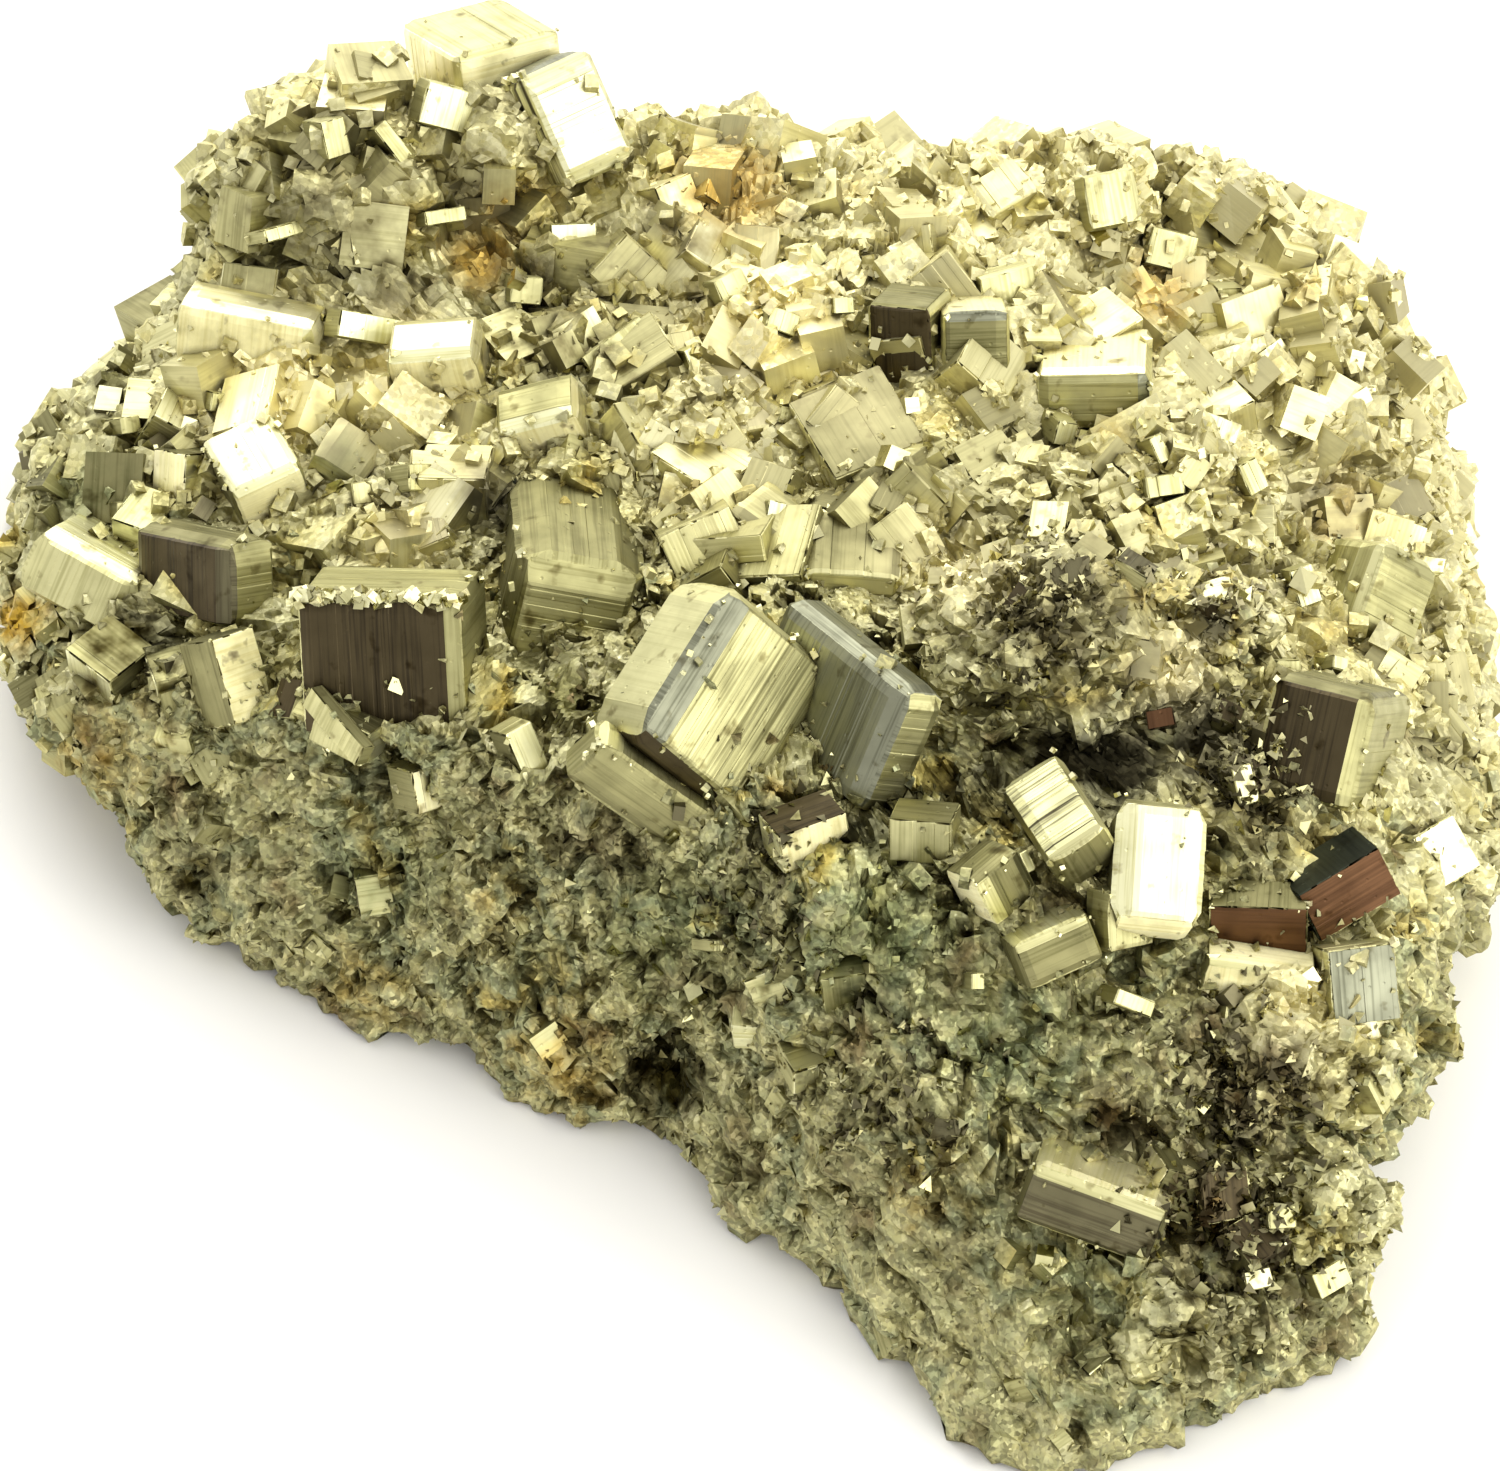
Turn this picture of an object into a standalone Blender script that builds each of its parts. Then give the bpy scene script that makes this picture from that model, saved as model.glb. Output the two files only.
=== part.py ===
"""Pyrite specimen: one intergrown cluster of brassy, striated cubes on a granular base.

All of it grew together, so it is one solid: a granular body with a flat, broken-off
underside, rounded grainy lumps, hollows, and crystals that stand out of the top,
the rims and the sloping lobe at the front.

Axes: +X is to the right seen from the front, +Y runs to the back, +Z is up. The
origin is at the middle of the bounding box, on the flat underside.

Crystals, lumps and hollows are placed as seen from SIGHT degrees above the front:
"across" and "up" are millimetres in that view, and each sits where a line of sight
meets the body.
"""

import math

import bmesh
import bpy
import numpy as np
from mathutils import Euler, Matrix, Vector, noise
from mathutils.bvhtree import BVHTree

MM = 0.001

# The view that the crystals are placed in, and the point that it looks at, in mm.
SIGHT = 50.0
MIDDLE = Vector((-0.05, 5.57, 0.0))
EYE = 80.0

# The body is star shaped about HEART: each broad face rounds into the next, more
# sharply the higher BLEND is, and the rim limits them with RIM_BLEND.
HEART = MIDDLE + Vector((0.35, -2.0, 7.5))
BLEND = 16.0
RIM_BLEND = 45.0

# Broad faces of the body: compass direction and tilt of the outward normal in
# degrees, and distance from HEART in mm. SIDES bound all of it, MAIN_FRONT the main
# mass and LOBE_FLANK the lobe that runs out to the front right.
SIDES = (
    (180, 86, 6.2),
    (180, 70, 9.6),
    (20, 65, 10.8),
    (95, 70, 11.4),
    (-80, 52, 15.8),
    (-40, 25, 27.5),
    (0, 30, 21.0),
    (50, 25, 28.0),
    (90, -12, 22.0),
    (140, 20, 27.5),
    (180, 20, 24.0),
    (0, -90, 9.8),
)
MAIN_FRONT = (-119, 17, 14.4)
LOBE_FLANK = (-137, 20, 11.8)

# The body's rim as seen, in mm across and up, clockwise from the left.
RIM = (
    (-26.1, 5.1), (-25.2, 8.2), (-24.5, 10.6), (-22.9, 11.9), (-21.3, 13.5),
    (-19.4, 15.5), (-18.6, 18.5), (-17.0, 20.4), (-15.0, 22.2), (-12.8, 23.0),
    (-9.8, 22.5), (-6.8, 21.2), (-4.3, 21.2), (-1.7, 21.6), (0.0, 22.2),
    (1.8, 21.6), (3.9, 20.3), (6.9, 19.9), (10.5, 20.5), (12.8, 21.4),
    (14.8, 20.9), (16.3, 19.8), (18.2, 18.9), (20.4, 18.7), (21.4, 16.6),
    (22.6, 14.2), (23.8, 11.7), (24.6, 9.2), (24.9, 6.5), (25.3, 4.0),
    (25.3, 1.6), (26.0, -0.9), (25.9, -4.0), (25.2, -6.6), (23.9, -7.9),
    (23.8, -10.1), (22.6, -12.4), (21.0, -14.6), (20.6, -16.5), (21.6, -19.6),
    (18.7, -22.5), (15.2, -23.8), (12.2, -24.5), (9.9, -25.8), (8.5, -25.4),
    (6.7, -23.5), (4.6, -22.1), (4.2, -20.3), (1.8, -17.7), (-1.0, -15.6),
    (-2.5, -13.9), (-5.0, -13.5), (-7.9, -13.5), (-9.8, -11.4), (-12.2, -10.5),
    (-15.0, -10.5), (-15.9, -7.8), (-18.9, -7.2), (-20.3, -5.4), (-21.7, -2.3),
    (-23.5, -0.2), (-24.8, 1.1), (-25.7, 3.3),
)

# Bumps all over the body: their size and height in mm.
GRAIN = ((5.0, 0.8), (1.9, 0.35))

# Rounds of subdivision of the body's sphere, and the share of its faces that stay.
ROUNDS = 6
KEPT = 0.18

# Rounded grainy lumps: across, up, rise towards the viewer, and half width across,
# half width up and half depth, all in mm.
LUMPS = (
    (-14.2, 19.0, -1.0, 4.6, 3.6, 4.6),
    (-9.0, 20.0, 0.2, 3.0, 2.6, 3.2),
    (10.6, 3.2, 0.2, 5.0, 3.4, 3.4),
    (15.6, 3.6, 0.2, 2.4, 1.9, 2.2),
    (15.0, 8.6, -0.6, 3.0, 2.4, 2.4),
    (18.8, -11.2, -0.8, 3.4, 2.6, 2.6),
    (1.4, 14.2, -0.3, 2.7, 2.1, 2.0),
    (12.5, 18.2, -0.6, 1.7, 2.6, 2.0),
    (16.0, 18.4, -0.8, 2.4, 2.0, 2.2),
    (19.6, 12.8, -1.6, 3.4, 3.8, 3.2),
    (19.6, -16.4, -0.8, 2.4, 2.2, 2.0),
    (14.6, -20.4, -1.0, 3.2, 2.2, 2.2),
    (-1.6, 10.4, -0.8, 2.6, 2.0, 1.8),
)

# How uneven a lump is, how many bumps lie along its radius, and the half width in mm
# from which it gets a finer mesh.
LUMP_WOBBLE = 0.35
LUMP_BUMPS = 1.6
FINE_LUMP = 2.6

# Hollows, clefts and pits: across, up, radius and depth in mm.
HOLLOWS = (
    (7.0, -1.6, 1.5, 2.6),
    (10.4, -0.9, 1.5, 3.4),
    (13.4, -0.7, 1.5, 3.2),
    (15.8, -1.3, 1.4, 2.4),
    (0.6, -3.4, 1.2, 1.6),
    (4.0, -3.2, 1.3, 2.2),
    (-13.0, -1.4, 1.4, 1.8),
    (-20.6, 3.1, 1.3, 1.8),
    (-9.2, 8.2, 1.1, 1.4),
    (4.1, -8.9, 1.3, 1.8),
    (-2.9, -11.8, 1.6, 2.0),
    (9.4, -13.6, 1.3, 1.8),
    (16.6, -14.0, 1.3, 1.6),
    (-7.4, 16.4, 1.8, 1.8),
    (19.8, 8.4, 1.8, 2.0),
    (24.3, -0.8, 1.0, 1.2),
)

# Large crystals: across, up and rise in mm, half sizes in mm, turns about the
# view's across, up and sight axes in degrees, and how far the pyritohedral
# faces trim the cube's edges in mm.
CRYSTALS = (
    ((-1.2, 1.2, 1.6), (3.25, 1.95, 2.98), (58, -13, -122), 0.45),
    ((-3.4, -2.0, 0.3), (3.20, 0.96, 1.10), (57, -21, 145), 0.30),
    ((3.2, 1.0, 0.6), (2.43, 1.11, 3.64), (46, -17, 67), 0.30),
    ((-12.3, 2.9, 0.4), (2.58, 1.91, 2.96), (76, -18, 93), 0.20),
    ((-6.4, 5.3, -1.6), (2.33, 3.48, 2.50), (64, -8, 170), 0.50),
    ((-18.9, 5.6, 0.5), (1.61, 1.20, 2.67), (40, -11, 91), 0.30),
    ((-22.6, 5.6, -0.2), (2.20, 1.30, 2.20), (20, -14, -29), 0.35),
    ((-17.1, 9.1, 0.1), (1.36, 1.74, 1.10), (52, -5, -155), 0.15),
    ((-19.6, 9.0, 0.0), (0.98, 0.90, 0.82), (44, -9, 87), 0.0),
    ((-18.1, 2.0, 0.1), (1.54, 0.90, 1.12), (32, -6, 106), 0.0),
    ((-17.4, 14.1, 0.2), (2.54, 1.20, 1.10), (28, -11, -11), 0.20),
    ((-10.8, 12.9, 0.2), (1.65, 1.44, 1.10), (46, -12, 4), 0.20),
    ((5.6, 13.8, 0.0), (1.16, 1.69, 1.20), (23, -20, -6), 0.15),
    ((7.7, 13.9, -0.4), (1.36, 1.19, 2.40), (4, -12, 91), 0.15),
    ((12.0, 12.4, -0.2), (2.00, 1.15, 2.40), (20, -2, 1), 0.20),
    ((20.1, -0.2, 0.0), (2.13, 2.90, 1.90), (76, -5, 77), 0.30),
    ((10.7, -3.0, 0.9), (2.19, 1.21, 1.00), (0, -44, -57), 0.20),
    ((13.9, -4.6, 0.6), (1.60, 2.30, 1.20), (-14, 8, -6), 0.35),
    ((20.2, -5.1, 0.3), (1.65, 1.26, 1.00), (64, -9, -149), 0.0),
    ((17.5, -6.2, 0.2), (1.70, 0.90, 0.90), (32, -2, -2), 0.0),
    ((23.7, -4.2, 0.2), (0.95, 0.90, 1.04), (87, -27, -149), 0.0),
    ((10.2, -7.1, 0.0), (1.46, 1.68, 0.90), (73, -8, -156), 0.15),
    ((11.9, -15.9, 0.3), (2.53, 1.34, 1.20), (62, 0, 160), 0.20),
    ((20.6, -8.4, 0.3), (1.35, 1.22, 1.70), (17, -8, 95), 0.0),
    ((-7.1, 10.8, 0.0), (1.50, 1.30, 1.10), (46, -12, 14), 0.20),
    ((21.5, 4.7, -0.2), (1.90, 1.60, 1.50), (40, 10, 70), 0.30),
    ((17.4, -8.4, 0.0), (2.00, 1.20, 1.30), (30, 5, -8), 0.20),
    ((20.3, -10.6, 0.0), (1.80, 1.50, 1.30), (20, 10, 15), 0.35),
    ((16.0, -15.7, 0.2), (0.90, 0.90, 0.90), (10, 22, 10), 0.0),
    ((17.3, -17.6, 0.2), (0.90, 0.85, 0.90), (-20, 24, 30), 0.0),
    ((14.4, -15.4, 0.0), (0.95, 1.00, 0.90), (35, -20, 60), 0.0),
    ((-13.8, 0.2, 0.3), (1.10, 0.70, 0.80), (30, -20, -28), 0.0),
    ((-11.2, -1.6, 0.2), (1.00, 0.80, 0.80), (20, 30, 20), 0.0),
    ((-7.9, -0.6, 0.2), (0.55, 1.10, 0.70), (20, 20, 30), 0.0),
    ((1.9, -3.3, 0.4), (1.30, 0.80, 0.90), (35, 15, 20), 0.0),
    ((6.0, -3.3, 0.3), (1.10, 0.80, 0.90), (25, -10, -5), 0.0),
    ((8.3, -5.0, 0.4), (1.05, 1.05, 1.00), (35, 20, 40), 0.15),
)

# Crystals that stand past the body's rim: as above, with the height of the middle
# above the underside in place of the rise.
RIM_CRYSTALS = (
    ((-9.3, 23.5, 13.8), (2.05, 2.50, 1.50), (69, -21, -165), 0.20),
    ((-6.7, 21.5, 14.4), (1.50, 2.60, 2.19), (85, -15, -155), 0.30),
)

# Small crystals scattered over the top, and over the rims, back and front: how
# many, and the range of their half size in mm.
SCATTER = (
    ("top", 52, 0.9, 1.8),
    ("side", 40, 0.7, 1.3),
    ("front", 12, 0.5, 0.9),
)
SCATTER_SEED = 7
TRIES = 1500

# A small crystal's half sizes next to its size, how deep its middle is sunk and how
# far its trimmed edges are cut back, as shares of its size, and the share of the
# small crystals whose edges are trimmed.
UNEVEN = (0.8, 1.15)
SUNK = 0.25
TRIM_DEPTH = 0.15
TRIMMED = 0.15

# Small crystals keep off the underside by this height in mm. A surface whose normal
# points up this much is top, and one that points forward this much is front.
LOWEST = 2.5
TOP_NORMAL = 0.72
FRONT_NORMAL = -0.4

# Sizes that a small crystal keeps from the rim as seen, the share of a large
# crystal's half size that it keeps clear of, and how far the surface must face the
# viewer for that to count.
RIM_ROOM = 1.1
CRYSTAL_ROOM = 0.9
FACING_VIEWER = 0.1

# Half the width and the depth in mm of the block that cuts the underside flat.
CUTTER = 50.0


def facing(compass, tilt):
    a = math.radians(compass)
    t = math.radians(tilt)
    return np.array((math.cos(a) * math.cos(t), math.sin(a) * math.cos(t), math.sin(t)))


def sight_frame():
    """Columns are the view's across, up and towards-the-viewer directions."""
    s = math.sin(math.radians(SIGHT))
    c = math.cos(math.radians(SIGHT))
    return Matrix(((1, 0, 0), (0, s, -c), (0, c, s)))


def seen(point):
    """A point in mm as (across, up, towards the viewer)."""
    return sight_frame().transposed() @ (Vector(point) - MIDDLE)


def unseen(across, up, towards):
    """The point in mm at a place in the view."""
    return sight_frame() @ Vector((across, up, towards)) + MIDDLE


def rim_reach(across, up):
    """Distance to RIM from HEART's place in the view, for directions in the view."""
    heart = seen(HEART)
    rim = np.array(RIM) - np.array((heart.x, heart.y))
    reach = np.full(len(across), np.inf)
    for start, end in zip(rim, np.roll(rim, -1, axis=0)):
        edge = end - start
        turn = across * edge[1] - up * edge[0]
        with np.errstate(divide="ignore", invalid="ignore"):
            far = (start[0] * edge[1] - start[1] * edge[0]) / turn
            along = (start[0] * up - start[1] * across) / turn
        hit = (far > 0) & (along >= 0) & (along <= 1)
        reach[hit] = np.minimum(reach[hit], far[hit])
    return reach


def within(sides, directions):
    """Distance from HEART to the nearest of some broad faces, rounded where they meet."""
    total = np.zeros(len(directions))
    for compass, tilt, distance in sides:
        share = np.clip(directions @ facing(compass, tilt), 0, None)
        total += (share / distance) ** BLEND
    return total ** (-1 / BLEND)


def body_reach(directions):
    """Distance from HEART to the smooth body, along unit vectors."""
    main = within(SIDES + (MAIN_FRONT,), directions)
    lobe = within(SIDES + (LOBE_FLANK,), directions)
    both = np.maximum(main, lobe)
    view = directions @ np.array(sight_frame())
    flat = np.maximum(np.hypot(view[:, 0], view[:, 1]), 1e-6)
    rim = rim_reach(view[:, 0] / flat, view[:, 1] / flat) / flat
    return (both ** -RIM_BLEND + rim ** -RIM_BLEND) ** (-1 / RIM_BLEND)


def ball(rounds):
    mesh = bmesh.new()
    bmesh.ops.create_icosphere(mesh, subdivisions=rounds, radius=1)
    return mesh


def body_mesh(hollows):
    """The body with its bumps, and with hollows given as middle, radius and depth."""
    mesh = ball(ROUNDS)
    directions = np.array([v.co.normalized() for v in mesh.verts])
    reach = body_reach(directions)
    for vert, direction, far in zip(mesh.verts, directions, reach):
        offset = Vector(direction) * far
        for size, height in GRAIN:
            far += noise.fractal(offset / size, 0.9, 2.0, 3) * height
        for centre, radius, depth in hollows:
            gap = (HEART + offset - centre).length / radius
            far -= depth * math.exp(-gap * gap)
        vert.co = HEART + Vector(direction) * far
    return mesh


def meet(tree, across, up):
    """Where a line of sight meets the body."""
    towards = sight_frame().col[2]
    return tree.ray_cast(unseen(across, up, EYE), -towards)[0]


def lump_mesh(centre, half, seed):
    mesh = ball(3 if max(half) > FINE_LUMP else 2)
    for vert in mesh.verts:
        shifted = vert.co * LUMP_BUMPS + Vector((seed, 0, 0))
        wobble = 1 + noise.noise(shifted) * LUMP_WOBBLE
        vert.co = Vector(vert.co[i] * half[i] for i in range(3)) * wobble
    mesh.transform(Matrix.Translation(centre) @ sight_frame().to_4x4())
    return mesh


def trims():
    """Outward directions of the twelve pyritohedral faces."""
    for i in range(3):
        for first in (2, -2):
            for second in (1, -1):
                way = Vector((0, 0, 0))
                way[i] = first
                way[(i + 1) % 3] = second
                yield way.normalized()


def crystal_mesh(half, trim):
    """A cube-like block whose edges are cut back by pyritohedral faces."""
    mesh = bmesh.new()
    bmesh.ops.create_cube(mesh, size=2)
    for vert in mesh.verts:
        vert.co = Vector(vert.co[i] * half[i] for i in range(3))
    for way in trims() if trim else ():
        reach = sum(abs(way[i]) * half[i] for i in range(3)) - trim
        geom = mesh.verts[:] + mesh.edges[:] + mesh.faces[:]
        cut = bmesh.ops.bisect_plane(
            mesh, geom=geom, dist=1e-5, plane_co=way * reach, plane_no=way,
            clear_outer=True,
        )
        edges = [e for e in cut["geom_cut"] if isinstance(e, bmesh.types.BMEdge)]
        if edges:
            bmesh.ops.contextual_create(mesh, geom=edges)
    bmesh.ops.recalc_face_normals(mesh, faces=mesh.faces)
    return mesh


def turned(mesh, centre, turns):
    """A crystal moved to its place, turned about the view's axes."""
    spin = Euler([math.radians(t) for t in turns]).to_matrix()
    mesh.transform(Matrix.Translation(centre) @ (sight_frame() @ spin).to_4x4())
    return mesh


def inside_rim(across, up):
    """How far a point of the view lies from the nearest edge of RIM."""
    point = Vector((across, up))
    gaps = []
    for start, end in zip(RIM, RIM[1:] + RIM[:1]):
        a = Vector(start)
        side = Vector(end) - a
        share = max(0, min(1, (point - a).dot(side) / side.length_squared))
        gaps.append((point - a - side * share).length)
    return min(gaps)


def zone(place, normal):
    """Which part of the body a point lies on, or None close to the underside."""
    if place.z < LOWEST:
        return None
    if normal.z > TOP_NORMAL:
        return "top"
    return "front" if normal.y < FRONT_NORMAL else "side"


def beside_large(place, size):
    """Whether a small crystal would hide one of the large ones."""
    for (across, up, _), half, _, _ in CRYSTALS:
        gap = math.hypot(place.x - across, place.y - up)
        if gap < max(half) * CRYSTAL_ROOM + size:
            return True
    return False


def scattered(body, rng):
    """Small crystals, clear of the large ones and inside the rim as seen."""
    left = {name: [count, low, high] for name, count, low, high in SCATTER}
    areas = np.array([face.calc_area() for face in body.faces])
    body.faces.ensure_lookup_table()
    made = []
    for index in rng.choice(len(areas), TRIES, p=areas / areas.sum()):
        centre = body.faces[index].calc_center_median()
        normal = body.faces[index].normal
        where = zone(centre, normal)
        if where is None or not left[where][0]:
            continue
        size = rng.uniform(*left[where][1:])
        place = seen(centre)
        if inside_rim(place.x, place.y) < size * RIM_ROOM:
            continue
        in_view = sight_frame().col[2].dot(normal) > FACING_VIEWER
        if in_view and beside_large(place, size):
            continue
        half = size * rng.uniform(*UNEVEN, 3)
        mesh = crystal_mesh(half, size * TRIM_DEPTH if rng.random() < TRIMMED else 0)
        spin = Euler(rng.uniform(0, math.tau, 3)).to_matrix().to_4x4()
        mesh.transform(Matrix.Translation(centre - normal * size * SUNK) @ spin)
        made.append(mesh)
        left[where][0] -= 1
    return made


def add_object(name, meshes, helper):
    """One object in metres from several bmeshes in mm."""
    whole = bmesh.new()
    for mesh in meshes:
        piece = bpy.data.meshes.new("piece")
        mesh.to_mesh(piece)
        mesh.free()
        whole.from_mesh(piece)
        bpy.data.meshes.remove(piece)
    whole.transform(Matrix.Scale(MM, 4))
    data = bpy.data.meshes.new(name)
    whole.to_mesh(data)
    whole.free()
    made = bpy.data.objects.new(name, data)
    bpy.context.scene.collection.objects.link(made)
    if helper:
        made.hide_render = True
        made.display_type = "WIRE"
    return made


def boolean(target, other, operation):
    step = target.modifiers.new(operation.title(), "BOOLEAN")
    step.operation = operation
    step.solver = "EXACT"
    step.use_self = True
    step.object = other


for old in list(bpy.data.objects):
    bpy.data.objects.remove(old)

# The body, smooth first, because the hollows are placed on the smooth one.
smooth = body_mesh([])
smooth_tree = BVHTree.FromBMesh(smooth)
hollows = [
    (meet(smooth_tree, across, up), radius, depth)
    for across, up, radius, depth in HOLLOWS
]
smooth.free()
body = body_mesh(hollows)

# The lumps and the crystals, each where its line of sight meets the body.
body_tree = BVHTree.FromBMesh(body)
towards = sight_frame().col[2]
grown = []
for index, (across, up, rise, *half) in enumerate(LUMPS):
    centre = meet(body_tree, across, up) + towards * rise
    grown.append(lump_mesh(centre, half, 3.1 * index))
for (across, up, rise), half, turns, trim in CRYSTALS:
    centre = meet(body_tree, across, up) + towards * rise
    grown.append(turned(crystal_mesh(half, trim), centre, turns))
for (across, up, height), half, turns, trim in RIM_CRYSTALS:
    centre = unseen(across, up, 0)
    centre += towards * ((height - centre.z) / towards.z)
    grown.append(turned(crystal_mesh(half, trim), centre, turns))
grown += scattered(body, np.random.default_rng(SCATTER_SEED))

# The whole cluster: the body with fewer faces, joined with all that grew on it, and
# cut off flat below.
cluster = add_object("pyrite_cluster", [body], False)
thinned = cluster.modifiers.new("Thinned", "DECIMATE")
thinned.ratio = KEPT
boolean(cluster, add_object("crystals_and_lumps", grown, True), "UNION")
block = bmesh.new()
bmesh.ops.create_cube(block, size=2 * CUTTER)
block.transform(Matrix.Translation((0, 0, -CUTTER)))
boolean(cluster, add_object("underside_cut", [block], True), "DIFFERENCE")

# Fresh pyrite is a pale, slightly greenish brass, and its faces are a satin metal.
metal = bpy.data.materials.new("Pale brass pyrite")
metal.use_nodes = True
shader = metal.node_tree.nodes["Principled BSDF"]
shader.inputs["Base Color"].default_value = (0.52, 0.48, 0.27, 1)
shader.inputs["Metallic"].default_value = 1.0
shader.inputs["Roughness"].default_value = 0.35
cluster.data.materials.append(metal)
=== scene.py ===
"""Pyrite specimen: the finish of a cluster of striated cubes grown on a granular base.

Everything is worked out in millimetres and turned to metres when a piece is made. The
places of crystals and lumps are those of the solid: "across" and "up" in a view from
SIGHT degrees above the front, and a rise towards the viewer.
"""

import math

import bmesh
import bpy
import numpy as np
from mathutils import Euler, Matrix, Vector, kdtree, noise
from mathutils.bvhtree import BVHTree


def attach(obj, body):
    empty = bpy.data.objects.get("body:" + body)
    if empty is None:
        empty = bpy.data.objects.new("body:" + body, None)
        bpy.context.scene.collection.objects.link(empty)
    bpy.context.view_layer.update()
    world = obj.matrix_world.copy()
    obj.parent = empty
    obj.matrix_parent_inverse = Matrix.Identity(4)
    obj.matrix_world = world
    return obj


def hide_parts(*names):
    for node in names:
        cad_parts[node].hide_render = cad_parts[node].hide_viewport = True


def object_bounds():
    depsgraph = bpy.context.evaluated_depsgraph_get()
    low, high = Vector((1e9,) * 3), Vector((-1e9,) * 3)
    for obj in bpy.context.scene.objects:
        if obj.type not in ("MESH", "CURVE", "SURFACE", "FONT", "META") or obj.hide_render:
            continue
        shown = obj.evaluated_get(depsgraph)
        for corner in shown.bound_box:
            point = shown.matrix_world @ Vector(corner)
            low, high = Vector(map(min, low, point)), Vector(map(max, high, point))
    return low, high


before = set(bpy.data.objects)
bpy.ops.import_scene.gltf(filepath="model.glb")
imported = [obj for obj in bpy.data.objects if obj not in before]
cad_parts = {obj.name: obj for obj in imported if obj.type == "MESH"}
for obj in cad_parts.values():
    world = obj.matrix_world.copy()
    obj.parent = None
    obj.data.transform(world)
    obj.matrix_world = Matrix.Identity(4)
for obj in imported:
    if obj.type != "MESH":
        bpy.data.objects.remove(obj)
cad_box = [list(corner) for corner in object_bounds()]

# THE BODY
# A granular mass of grown-together pyrite that all the crystals stand on. It broke
# off its rock along a flat underside. Only its dark, matt gaps show between the
# grains and cubes that cover it.

# A millimetre in metres, the view's angle above the floor in degrees, the point that it
# is centred on, and the point inside the body that its surface is measured from.
MM = 0.001
SIGHT = 50.0
MIDDLE = Vector((-0.05, 5.57, 0.0))
HEART = MIDDLE + Vector((0.35, -2.0, 7.5))
# How far off the rays that look for the surface start, how sharply the broad faces meet
# each other and the rim, and a share small enough to stand for none in a division.
EYE = 80.0
BLEND = 16.0
RIM_BLEND = 45.0
NEARLY_NONE = 1e-6

# Broad faces: compass direction and tilt of the normal, distance from HEART in mm.
SIDES = (
    (180, 86, 6.2),
    (180, 70, 9.6),
    (20, 65, 10.8),
    (95, 70, 11.4),
    (-80, 52, 15.8),
    (-40, 25, 27.5),
    (0, 30, 21.0),
    (50, 25, 28.0),
    (90, -12, 22.0),
    (140, 20, 27.5),
    (180, 20, 24.0),
    (0, -90, 9.8),
)
MAIN_FRONT = (-119, 17, 14.4)
LOBE_FLANK = (-137, 20, 11.8)

# The rim as seen, in mm across and up, clockwise from the left.
RIM = (
    (-26.1, 5.1), (-25.2, 8.2), (-24.5, 10.6), (-22.9, 11.9), (-21.3, 13.5),
    (-19.4, 15.5), (-18.6, 18.5), (-17.0, 20.4), (-15.0, 22.2), (-12.8, 23.0),
    (-9.8, 22.5), (-6.8, 21.2), (-4.3, 21.2), (-1.7, 21.6), (0.0, 22.2),
    (1.8, 21.6), (3.9, 20.3), (6.9, 19.9), (10.5, 20.5), (12.8, 21.4),
    (14.8, 20.9), (16.3, 19.8), (18.2, 18.9), (20.4, 18.7), (21.4, 16.6),
    (22.6, 14.2), (23.8, 11.7), (24.6, 9.2), (24.9, 6.5), (25.3, 4.0),
    (25.3, 1.6), (26.0, -0.9), (25.9, -4.0), (25.2, -6.6), (23.9, -7.9),
    (23.8, -10.1), (22.6, -12.4), (21.0, -14.6), (20.6, -16.5), (21.6, -19.6),
    (18.7, -22.5), (15.2, -23.8), (12.2, -24.5), (9.9, -25.8), (8.5, -25.4),
    (6.7, -23.5), (4.6, -22.1), (4.2, -20.3), (1.8, -17.7), (-1.0, -15.6),
    (-2.5, -13.9), (-5.0, -13.5), (-7.9, -13.5), (-9.8, -11.4), (-12.2, -10.5),
    (-15.0, -10.5), (-15.9, -7.8), (-18.9, -7.2), (-20.3, -5.4), (-21.7, -2.3),
    (-23.5, -0.2), (-24.8, 1.1), (-25.7, 3.3),
)

# How many times the body's triangles are halved, for what sits on it and for its own
# surface. Bumps all over, size and height in mm, and the fractal's roughness, step and
# rounds. Then hollows: across, up, radius and depth.
COARSE = 6
FINE = 8
GRAIN = ((5.0, 0.8), (1.9, 0.35))
FRACTAL = (0.9, 2.0, 3)
HOLLOWS = (
    (7.0, -1.6, 1.5, 2.6), (10.4, -0.9, 1.5, 3.4), (13.4, -0.7, 1.5, 3.2),
    (15.8, -1.3, 1.4, 2.4), (0.6, -3.4, 1.2, 1.6), (4.0, -3.2, 1.3, 2.2),
    (-13.0, -1.4, 1.4, 1.8), (-20.6, 3.1, 1.3, 1.8), (-9.2, 8.2, 1.1, 1.4),
    (4.1, -8.9, 1.3, 1.8), (-2.9, -11.8, 1.6, 2.0), (9.4, -13.6, 1.3, 1.8),
    (16.6, -14.0, 1.3, 1.6), (-7.4, 16.4, 1.8, 1.8), (19.8, 8.4, 1.8, 2.0),
    (24.3, -0.8, 1.0, 1.2),
)


def facing(compass, tilt):
    """A direction from its compass direction and tilt in degrees."""
    a = math.radians(compass)
    t = math.radians(tilt)
    return np.array((math.cos(a) * math.cos(t), math.sin(a) * math.cos(t), math.sin(t)))


def sight_frame():
    """Columns are the view's across, up and towards-the-viewer directions."""
    s = math.sin(math.radians(SIGHT))
    c = math.cos(math.radians(SIGHT))
    return Matrix(((1, 0, 0), (0, s, -c), (0, c, s)))


towards = sight_frame().col[2]


def seen(point):
    """A point's place in the view: across, up and towards the viewer in mm."""
    return sight_frame().transposed() @ (Vector(point) - MIDDLE)


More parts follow.
